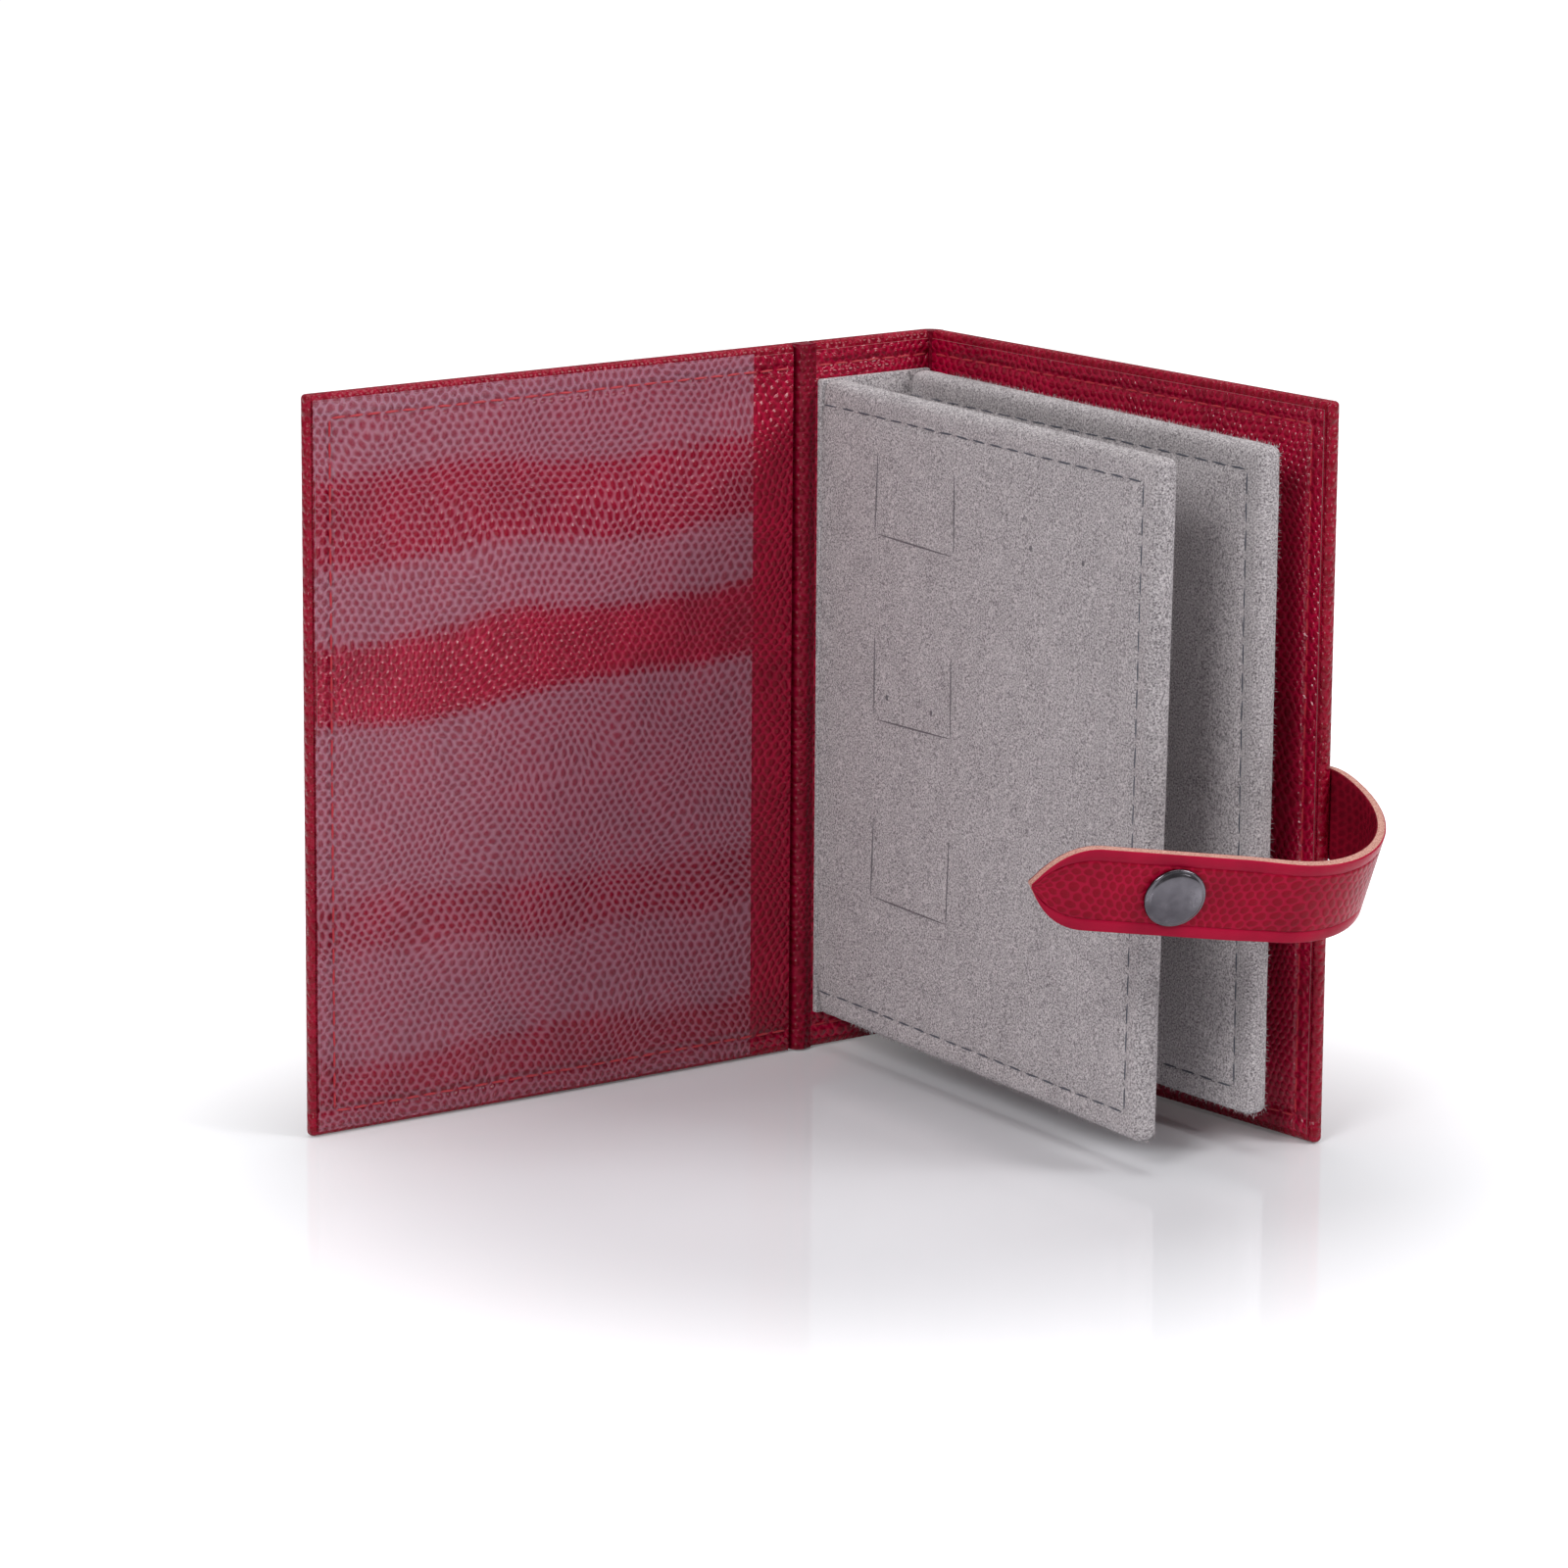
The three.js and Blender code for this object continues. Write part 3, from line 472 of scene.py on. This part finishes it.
bm = slab((-STRIP_HALF, INSIDE + 0.1, LEAF_LOW), (STRIP_HALF, INSIDE + 1.35, LEAF_HIGH))
round_over(bm, [e for e in bm.edges if any(v.co.y > INSIDE + 1 for v in e.verts)], 0.4, 2)
add("felt_strip", bm, [felt], "spine", ["felt_spine"], spine_at)


# The two leaves, 115 x 134.5 x 5.3 mm: felt over both sides of a board, sewn together along three edges
# by a row that pulls it down 5 mm in, so it puffs round the edge. The root is a plain fold of felt.
LEAF_ROOT, LEAF_FORE, LEAF_HALF, LEAF_ROLL = -2.5, 112.7, 2.65, 1.9
LEAF_SEAM, SEAM_DEPTH, SEAM_WALL = 5.0, 0.42, 0.8
ROOT_END, FREE_FROM, LEAF_SET, SET_OVER = 1.2, 8, 1.1, 67
SQUARE_WIDE, SQUARE_TALL, RAGGED_WIDE, RAGGED_TALL = 1.4, 61.5, 108, 62
leaf_1_at = plan(joint["leaf_1_turn"], -93.3, 1)
leaf_2_at = plan(joint["leaf_2_turn"], -91.0, 1)


def warp_1(u, w, z):
    """Leaf 1 has taken a slight set: its lower fore corner stands a little forward and low."""
    share = max(u, 0) / LEAF_FORE
    above = (z - MID_HEIGHT) / SET_OVER
    return Vector((u, w + LEAF_SET * share * above, z - LEAF_SET * share**2 * max(-above, 0)))


def warp_2(u, w, z):
    """Leaf 2 is flat."""
    return Vector((u, w, z))


leaves = (("leaf_1", leaf_1_at, warp_1), ("leaf_2", leaf_2_at, warp_2))
for name, at, warp in leaves:
    bm = slab((LEAF_ROOT, -LEAF_HALF, LEAF_LOW), (LEAF_FORE, LEAF_HALF, LEAF_HIGH))
    round_over(bm, bm.edges[:], LEAF_ROLL, 5)
    broad = [f for f in bm.faces if abs(f.normal.y) > 0.99 and f.calc_area() > 1000]
    steps = ((LEAF_SEAM - LEAF_ROLL - SEAM_WALL, 0), (SEAM_WALL, -SEAM_DEPTH), (SEAM_WALL, SEAM_DEPTH))
    even = {"use_even_offset": True, "use_boundary": True}
    for inset, depth in steps:
        bmesh.ops.inset_region(bm, faces=broad, thickness=inset, depth=depth, **even)
    cuts = [(u, 0) for u in (-1.6, -0.8, 0, 0.8, 1.6, 3.6, 4.2)] + [(5 * k + 0.3, 0) for k in range(1, 22)]
    cuts += [(LEAF_LOW + 5 * k + 2, 2) for k in range(1, 26)]
    for place, axis in cuts:
        facing = Vector((axis == 0, 0, axis == 2))
        whole = bm.verts[:] + bm.edges[:] + bm.faces[:]
        bmesh.ops.bisect_plane(bm, geom=whole, plane_co=facing * place, plane_no=facing)
    for v in bm.verts:
        by_root = v.co.x < LEAF_ROOT + LEAF_SEAM + SQUARE_WIDE
        if by_root and abs(v.co.z - MID_HEIGHT) < SQUARE_TALL:
            v.co.y = math.copysign(LEAF_HALF, v.co.y)
        u, w, z = v.co
        lump = 0.1 * noise.noise(Vector((u * 0.3, z * 0.3, math.copysign(4, w)))) * abs(w) / LEAF_HALF
        at_edge = max(abs(z - MID_HEIGHT) - RAGGED_TALL, u - RAGGED_WIDE) > 0
        ragged = 0.12 * noise.noise(Vector((u * 0.5, z * 0.5, w + 9))) * at_edge
        v.co = warp(u + ragged * (u > FREE_FROM), w + lump, z + ragged)
    both_felts = [name + "_front_felt", name + "_rear_felt"]
    leaf = add(name + "_felt", bm, [felt], None, both_felts, at, sharp=80)
    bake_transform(leaf)


# The leaves' stitching: slate thread, 4.3 mm stitches at 5.7 mm, sunk in the channel of each face. The
# last stitch by the root lies on the plain felt.
LEAF_STITCH, LEAF_PITCH, LEAF_THREAD = 4.3, 5.7, 0.22
slate_thread = sewing_thread("slate_thread", "#2f3139", "#5a5d69")
for name, at, warp in leaves:
    bm = bmesh.new()
    u0, u1, z0, z1 = 3.6, LEAF_FORE - LEAF_SEAM, LEAF_LOW + LEAF_SEAM, LEAF_HIGH - LEAF_SEAM
    for side in (-1, 1):
        w = side * (LEAF_HALF - SEAM_DEPTH + 0.08)
        out = (0, side, 0)
        for (ua, za), (ub, zb) in (((u0, z1), (u1, z1)), ((u1, z1), (u1, z0)), ((u1, z0), (u0, z0))):
            sew(bm, at, warp(ua, w, za), warp(ub, w, zb), out, LEAF_PITCH, LEAF_STITCH, LEAF_THREAD)
        top = side * (LEAF_HALF - 0.04)
        for z in (z0, z1):
            sew(bm, at, warp(-1.9, top, z), warp(2.4, top, z), out, LEAF_STITCH, LEAF_STITCH, LEAF_THREAD)
    seam = add(name + "_stitches", bm, [slate_thread])
    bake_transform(seam)


# Three flaps, 27.5 x 17.5 mm and 38 mm apart, cut on three sides in the front felt of leaf 1, and four
# small pierced holes. A cut shows as a thin dark seam in the nap, drawn as a slim bead of darkened felt:
# painted shade for the gap.
# Felt in a cut: the same wool darkened as painted shade, flecked at 0.4 mm.
felt_cut_shade, tree, sockets = surface("grey_felt_cut_shade", "#5a5458", 0.95)
spot = node(tree, "ShaderNodeTexCoord")["Object"]
fleck = node(tree, "ShaderNodeTexNoise", {"Vector": spot, "Scale": 2500.0, "Detail": 2.0})[0]
depth = node(tree, "ShaderNodeMix", {0: fleck, 6: rgb("#3a3539"), 7: rgb("#8a8388")}, data_type="RGBA")[2]
tree.links.new(depth, sockets["Base Color"])
FLAP_LEFT, FLAP_RIGHT, FLAP_TALL, FLAP_BOTTOMS = 17.7, 45.2, 17.5, (37, 75, 113)
HOLES = ((22.4, 79.9), (38.4, 79.5), (71.8, 118.7), (89.4, 118.5))
CUT_THICK, HOLE_THICK, HOLE_TALL = 0.2, 0.4, 1.2
bm = bmesh.new()
face_w = -0.02 - LEAF_HALF
for bottom in FLAP_BOTTOMS:
    top = bottom + FLAP_TALL
    turns = ((FLAP_LEFT, top), (FLAP_LEFT, bottom), (FLAP_RIGHT, bottom), (FLAP_RIGHT, top))
    for (ua, za), (ub, zb) in zip(turns, turns[1:]):
        run = math.hypot(ub - ua, zb - za)
        sew(bm, leaf_1_at, warp_1(ua, face_w, za), warp_1(ub, face_w, zb), (0, -1, 0), run, run, CUT_THICK)
for u, z in HOLES:
    low, high = warp_1(u, face_w, z - HOLE_TALL / 2), warp_1(u, face_w, z + HOLE_TALL / 2)
    sew(bm, leaf_1_at, low, high, (0, -1, 0), HOLE_TALL, HOLE_TALL, HOLE_THICK)
add("leaf_1_flap_cut_shade", bm, [felt_cut_shade], "leaf_1")


# Loose fibres of the felt, 0.4 to 1.2 mm long, that stand out all along the free edges of the leaves.
FIBRES_PER_MM, FIBRE_THICK, FIBRE_LONG, FIBRE_SPREAD = 13, 0.075, (0.4, 1.2), 2.5
for name, at, warp in leaves:
    bm = bmesh.new()
    wide, tall = LEAF_FORE - FREE_FROM, LEAF_HIGH - LEAF_LOW
    for k in range(int((2 * wide + tall) * FIBRES_PER_MM)):
        run = random.uniform(0, 2 * wide + tall)
        w = random.uniform(-FIBRE_SPREAD, FIBRE_SPREAD)
        inset = LEAF_ROLL - math.sqrt(LEAF_ROLL**2 - max(abs(w) - LEAF_HALF + LEAF_ROLL, 0) ** 2)
        if run < wide:
            root, away = Vector((FREE_FROM + run, w, LEAF_HIGH - inset)), Vector((0, 0, 1))
        elif run < wide + tall:
            level = min(max(LEAF_LOW + run - wide, LEAF_LOW + 1.5), LEAF_HIGH - 1.5)
            root, away = Vector((LEAF_FORE - inset, w, level)), Vector((1, 0, 0))
        else:
            root, away = Vector((FREE_FROM + run - wide - tall, w, LEAF_LOW + inset)), Vector((0, 0, -1))
        lean = Vector((random.gauss(0, 0.6), random.gauss(0, 0.45) + 0.1 * w, random.gauss(0, 0.6)))
        tip = root + (away + lean).normalized() * random.uniform(*FIBRE_LONG)
        root -= away * 0.1
        spread = [Vector([random.gauss(0, 1) for axis in range(3)]).normalized() for corner in range(3)]
        foot = [bm.verts.new(warp(*(root + each * FIBRE_THICK))) for each in spread]
        end = bm.verts.new(warp(*tip))
        bm.faces.new(foot)
        for a, b in zip(foot, foot[1:] + foot[:1]):
            bm.faces.new((b, a, end))
    add(name + "_fibres", bm, [felt], name, at=at)


# The strap is one band of two leatherettes glued back to back, 17.7 mm wide and 2 mm thick, with a line
# pressed in 2.5 mm from each raw edge. It droops from the back cover, curls round and ends in a point.
STRAP_HALF, STRAP_THICK, STRAP_POINT, TAB, STRAP_PRESS = 8.85, 2.05, 13.0, 26.2, 2.5
STRAP_STRAIGHT, CREASE_HALF, PRESS_HALF, PRESS_DEPTH, TIP_BOW = 53.3, 5, 0.4, 0.25, 0.24
SAG, CURL, CURL_RADIUS, TWIST = math.radians(21), math.radians(112.3), 25.4, math.radians(3)
root, curl_stop, crease = (joint[name] for name in ("strap_root_crease", "strap_twist", "strap_tip_crease"))
curl_run = CURL_RADIUS * CURL
crease_run = curl_run + (crease - curl_stop).length
strap_run = curl_run + STRAP_STRAIGHT
press = STRAP_HALF - STRAP_PRESS

# The strap's leatherettes: duller and flatter than the case's, with scales of 2.3 x 1.8 mm. On the outer
# one the scales show by their printed tone and stop at the pressed lines.
STRAP_SCALE, STRAP_TONES = (2.3, 1.8), ("#9f0a30", "#86021f")
printed = {"print_edge": (0.05, 0.4), "plain_beyond": press}
strap_skin = leatherette("leatherette_strap", STRAP_SCALE, STRAP_TONES, 0.32, 0.25, 0.1, **printed)
strap_lining = leatherette("leatherette_strap_lining", STRAP_SCALE, ("#78091f", "#630518"), 0.42, 0.3, 0.08)

# The strap's raw edge: both layers' tan backing, cut and left bare, with threads of 0.3 mm.
strap_edge, tree, sockets = surface("strap_raw_edge", "#b98376", 0.85)
spot = node(tree, "ShaderNodeTexCoord")["Object"]
threads = {"Vector": spot, "Scale": 3300.0, "Detail": 3.0, "Roughness": 0.7}
fibre = node(tree, "ShaderNodeTexNoise", threads)[0]
tuft = node(tree, "ShaderNodeMapRange", {0: fibre, 1: 0.3, 2: 0.7})[0]
tan = node(tree, "ShaderNodeMix", {0: tuft, 6: rgb("#8e4a45"), 7: rgb("#d8ab9a")}, data_type="RGBA")[2]
tree.links.new(tan, sockets["Base Color"])
rough = node(tree, "ShaderNodeBump", {"Height": fibre, "Strength": 0.5, "Distance": 0.2 * MM})[0]
tree.links.new(rough, sockets["Normal"])


def ease(t):
    """A smooth step from 0 to 1."""
    t = min(max(t, 0), 1)
    return t * t * (3 - 2 * t)


def strap_point(s, across, out):
    """The point s mm along the strap from its root, across its width and out from its middle layer."""
    h = min(max(s / CURL_RADIUS, 0), CURL)
    rest = max(s - curl_run, 0)
    turn = TWIST * ease(rest / (crease_run - curl_run - CREASE_HALF))
    lift = across * math.cos(turn) + out * math.sin(turn)
    out = out * math.cos(turn) - across * math.sin(turn)
    ahead = min(s, 0) + CURL_RADIUS * math.sin(h) + rest * math.cos(h) + out * math.sin(h)
    aside = CURL_RADIUS * (math.cos(h) - 1) - rest * math.sin(h) + out * math.cos(h)
    droop = Matrix.Rotation(-BACK_TURN, 3, "Z") @ Matrix.Rotation(SAG * ease((s + 8) / 10), 3, "Y")
    return (root + droop @ Vector((ahead, aside, lift))) * MM


def strap_stretch(name, s0, s1, nodes):
    """One stretch of the strap: a flat blank with pressed lines and raw edges, then bent to its course."""
    bm = bmesh.new()
    bmesh.ops.create_grid(bm, x_segments=round((s1 - s0) / 0.9), y_segments=6, size=0.5)
    middle = Matrix.Translation(((s0 + s1) / 2, 0, -STRAP_THICK / 2))
    bmesh.ops.transform(bm, matrix=middle @ Matrix.Diagonal((s1 - s0, 2 * STRAP_HALF, 1, 1)), verts=bm.verts)
    for line in [side * press + off for side in (-1, 1) for off in (-PRESS_HALF, 0, PRESS_HALF)]:
        whole = bm.verts[:] + bm.edges[:] + bm.faces[:]
        bmesh.ops.bisect_plane(bm, geom=whole, plane_co=(0, line, 0), plane_no=(0, 1, 0))
    grown = bmesh.ops.extrude_face_region(bm, geom=bm.faces[:], use_keep_orig=True)["geom"]
    top = [part for part in grown if isinstance(part, bmesh.types.BMVert)]
    bmesh.ops.translate(bm, vec=(0, 0, STRAP_THICK), verts=top)
    pressed = [v for v in top if abs(abs(v.co.y) - press) < 0.01]
    bmesh.ops.translate(bm, vec=(0, 0, -PRESS_DEPTH), verts=pressed)
    bmesh.ops.recalc_face_normals(bm, faces=bm.faces)
    edges = along(bm, 0, (1, STRAP_HALF - 0.01, ANY)) + along(bm, 0, (1, -ANY, 0.01 - STRAP_HALF))
    round_over(bm, edges, 0.3, 3)
    layer = bm.loops.layers.uv.new("UVMap")
    for face in bm.faces:
        face.material_index = 0 if face.normal.z > 0.2 else 2 if face.normal.z < -0.2 else 1
        for loop in face.loops:
            loop[layer].uv = (loop.vert.co.x, loop.vert.co.y)
    for v in bm.verts:
        beyond = max(v.co.x - strap_run + STRAP_POINT, 0) / STRAP_POINT
        t = (1 + TIP_BOW - math.sqrt(max((1 + TIP_BOW) ** 2 - 4 * TIP_BOW * beyond, 0))) / (2 * TIP_BOW)
        v.co = strap_point(v.co.x, v.co.y * max(1 - t * t, 0.03), v.co.z)
    return add(name, bm, [strap_skin, strap_edge, strap_lining], None, nodes, sharp=50)


half_curl, neck_end = curl_run / 2, crease_run - CREASE_HALF
root_nodes = ["strap_tab_outer", "strap_tab_lining", "strap_curl_outer"]
strap_root = strap_stretch("strap_root", -TAB, half_curl, root_nodes)
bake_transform(strap_root)
strap_curl = strap_stretch("strap_curl_band", half_curl, neck_end, ["strap_curl_lining", "strap_neck_outer"])
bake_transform(strap_curl)
tongue_nodes = ["strap_neck_lining", "strap_tongue_outer", "strap_tongue_lining"]
strap_tongue = strap_stretch("strap_tongue_band", neck_end, strap_run, tongue_nodes)
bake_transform(strap_tongue)

# The strap's tab is sewn to the outside of the back cover with a box of the case's crimson thread.
bm = bmesh.new()
lift, tab_far, tab_near, tab_middle = STRAP_THICK / 2, STRAP_PRESS - TAB, -9, -15
outwards = (strap_point(tab_middle, 0, 1) - strap_point(tab_middle, 0, 0)).normalized()
box = ((tab_far, press), (tab_near, press), (tab_near, -press), (tab_far, -press))
corners = [strap_point(s, across, lift) / MM for s, across in box]
for start, end in zip(corners, corners[1:] + corners[:1]):
    sew(bm, Matrix.Scale(MM, 4), start, end, outwards, CASE_PITCH, CASE_STITCH, CASE_THREAD)
add("strap_tab_stitches", bm, [crimson_thread], "back_cover")


# The press snap: a 12.5 mm domed cap riveted through the strap to an 11 mm socket, and a stud riveted to
# the front cover's outside. All are pressed from brass sheet with rolled rims.
# Gunmetal plating: dark, warm grey, bright where it catches light, faintly scuffed at about 2 mm.
gunmetal, tree, sockets = surface("gunmetal_plating", "#5d5a5f", 0.24, 1.0)
spot = node(tree, "ShaderNodeTexCoord")["Object"]
scuff = node(tree, "ShaderNodeTexNoise", {"Vector": spot, "Scale": 450.0, "Detail": 5.0})[0]
plate = node(tree, "ShaderNodeMix", {0: scuff, 6: rgb("#47454a"), 7: rgb("#706d73")}, data_type="RGBA")[2]
tree.links.new(plate, sockets["Base Color"])
worn = node(tree, "ShaderNodeMapRange", {0: scuff, 1: 0.3, 2: 0.7, 3: 0.16, 4: 0.3})[0]
tree.links.new(worn, sockets["Roughness"])
for name in ("snap_post", "snap_spring"):
    frame["nodes"][name].data.materials.clear()
    frame["nodes"][name].data.materials.append(gunmetal)


def spun(name, outline, centre, axis, body, nodes):
    """A pressed round piece: an outline of (radius, height) in mm, spun about an axis through a point."""
    bm = bmesh.new()
    verts = [bm.verts.new((r, 0, h)) for r, h in outline]
    edges = [bm.edges.new(pair) for pair in zip(verts, verts[1:])]
    bmesh.ops.spin(bm, geom=verts + edges, axis=(0, 0, 1), angle=2 * math.pi, steps=64, use_merge=True)
    bmesh.ops.remove_doubles(bm, verts=bm.verts, dist=0.001)
    turn = Vector((0, 0, 1)).rotation_difference(axis).to_matrix().to_4x4()
    at = Matrix.Translation(centre) @ turn @ Matrix.Scale(MM, 4)
    add(name, bm, [gunmetal], body, nodes, at, sharp=35)


def arc(r, h, wide, tall, start, end, steps):
    """Points of an elliptic arc in an outline, by angle in degrees."""
    turns = [math.radians(start + (end - start) * k / steps) for k in range(steps + 1)]
    return [(r + wide * math.cos(a), h + tall * math.sin(a)) for a in turns]


SNAP_FROM_TIP = 29.5
snap_s = strap_run - SNAP_FROM_TIP
snap_at = strap_point(snap_s, 0, 0)
snap_out = (strap_point(snap_s, 0, 1) - snap_at).normalized()
cap = [(0, -2.2), (1.1, -2.2), (1.1, 1.05)] + arc(5.75, 1.55, 0.5, 0.5, -90, 90, 8)
cap += arc(0, 2.1, 5.6, 1.05, 10, 90, 10)
spun("snap_cap_dome", cap, snap_at, snap_out, "strap_tongue", ["snap_cap"])
cup = [(1.3, -1.1), (1.3, -1.65), (2.7, -1.65), (2.7, -3.3)] + arc(3.45, -2.9, 0.75, 0.52, -120, 0, 6)
cup += [(4.2, -2.2), (4.5, -1.8)] + arc(5.2, -1.4, 0.3, 0.3, -90, 90, 6) + [(1.3, -1.1)]
spun("snap_socket_cup", cup, snap_at, snap_out, "strap_tongue", ["snap_socket"])
low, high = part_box("snap_stud")
stud_at = Vector(((low.x + high.x) / 2, (front_at @ Vector((0, OUTSIDE, 0))).y, (low.z + high.z) / 2))
ball = [(1.2, 0.12)] + arc(4.65, 0.45, 0.35, 0.33, -90, 90, 6) + [(2.2, 0.72), (1.75, 0.85), (1.72, 1.2)]
ball += arc(1.2, 1.6, 0.7, 0.45, -20, 90, 6) + [(0, 2.0)]
spun("snap_stud_ball", ball, stud_at, Vector((0, 1, 0)), "front_cover", ["snap_stud"])


# The stage: a white glossy floor that fades to plain white away from the part, soft studio light and the
# photograph's long lens.
FLOOR_HALF, FLOOR_DROP, FADE_FROM = 6, 0.0002, (-0.06, -0.085, 0)
floor_paint, tree, sockets = surface("white_floor", "#e0e0e4", 0.07)
spot = node(tree, "ShaderNodeTexCoord")["Object"]
range_out = node(tree, "ShaderNodeVectorMath", {0: spot, 1: FADE_FROM}, operation="DISTANCE")[1]
rise = {0: range_out, 1: 0.06, 2: 0.22, 3: 0.0, 4: 0.75}
fade = node(tree, "ShaderNodeMapRange", rise, interpolation_type="SMOOTHSTEP")[0]
ray = node(tree, "ShaderNodeLightPath")
seen = node(tree, "ShaderNodeMath", {0: ray["Is Camera Ray"], 1: ray["Is Glossy Ray"]}, operation="ADD")[0]
through = {0: seen, 1: ray["Is Transmission Ray"]}
seen = node(tree, "ShaderNodeMath", through, operation="ADD", use_clamp=True)[0]
glow = node(tree, "ShaderNodeMath", {0: fade, 1: seen}, operation="MULTIPLY")[0]
sockets["Emission Color"].default_value = rgb("#ffffff")
tree.links.new(glow, sockets["Emission Strength"])
bm = bmesh.new()
below = Matrix.Translation((0, 0, -FLOOR_DROP))
bmesh.ops.create_grid(bm, x_segments=1, y_segments=1, size=FLOOR_HALF, matrix=below)
mesh = bpy.data.meshes.new("floor")
bm.to_mesh(mesh)
bm.free()
mesh.materials.append(floor_paint)
floor = bpy.data.objects.new("floor", mesh)
bpy.context.scene.collection.objects.link(floor)

# The room: even white light from all round, faint beside the lamps.
world = bpy.data.worlds.new("studio")
bpy.context.scene.world = world
world.use_nodes = True
sockets = world.node_tree.nodes["Background"].inputs
sockets["Color"].default_value = rgb("#ffffff")
sockets["Strength"].default_value = 0.28


def softbox(name, at, aim, size, power):
    light = bpy.data.lights.new(name, "AREA")
    light.shape = "RECTANGLE"
    light.size, light.size_y = size
    light.energy = power
    lamp = bpy.data.objects.new(name, light)
    lamp.location = at
    lamp.rotation_euler = (Vector(aim) - Vector(at)).to_track_quat("-Z", "Y").to_euler()
    bpy.context.scene.collection.objects.link(lamp)


softbox("key", (-1.9, -1.0, 1.4), (-0.02, -0.06, 0.07), (0.8, 0.8), 30)
softbox("top", (0.2, 0.1, 1.9), (-0.02, -0.06, 0.0), (1.6, 1.6), 20)
softbox("fill", (0.9, -1.2, 1.0), (-0.02, -0.06, 0.1), (0.7, 0.7), 15)

lens = bpy.data.cameras.new("long_lens")
lens.sensor_width = 36
lens.lens = 153.67
camera = bpy.data.objects.new("long_lens", lens)
pitch, roll = math.radians(12.46), math.radians(0.41)
ahead = Vector((0.5960 * math.cos(pitch), 0.8030 * math.cos(pitch), -math.sin(pitch)))
aim = ahead.to_track_quat("-Z", "Y").to_matrix().to_4x4() @ Matrix.Rotation(roll, 4, "Z")
camera.matrix_world = Matrix.Translation((-0.8323, -1.0932, 0.3582)) @ aim
bpy.context.scene.collection.objects.link(camera)
bpy.context.scene.camera = camera
bpy.context.scene.view_settings.view_transform = "Standard"
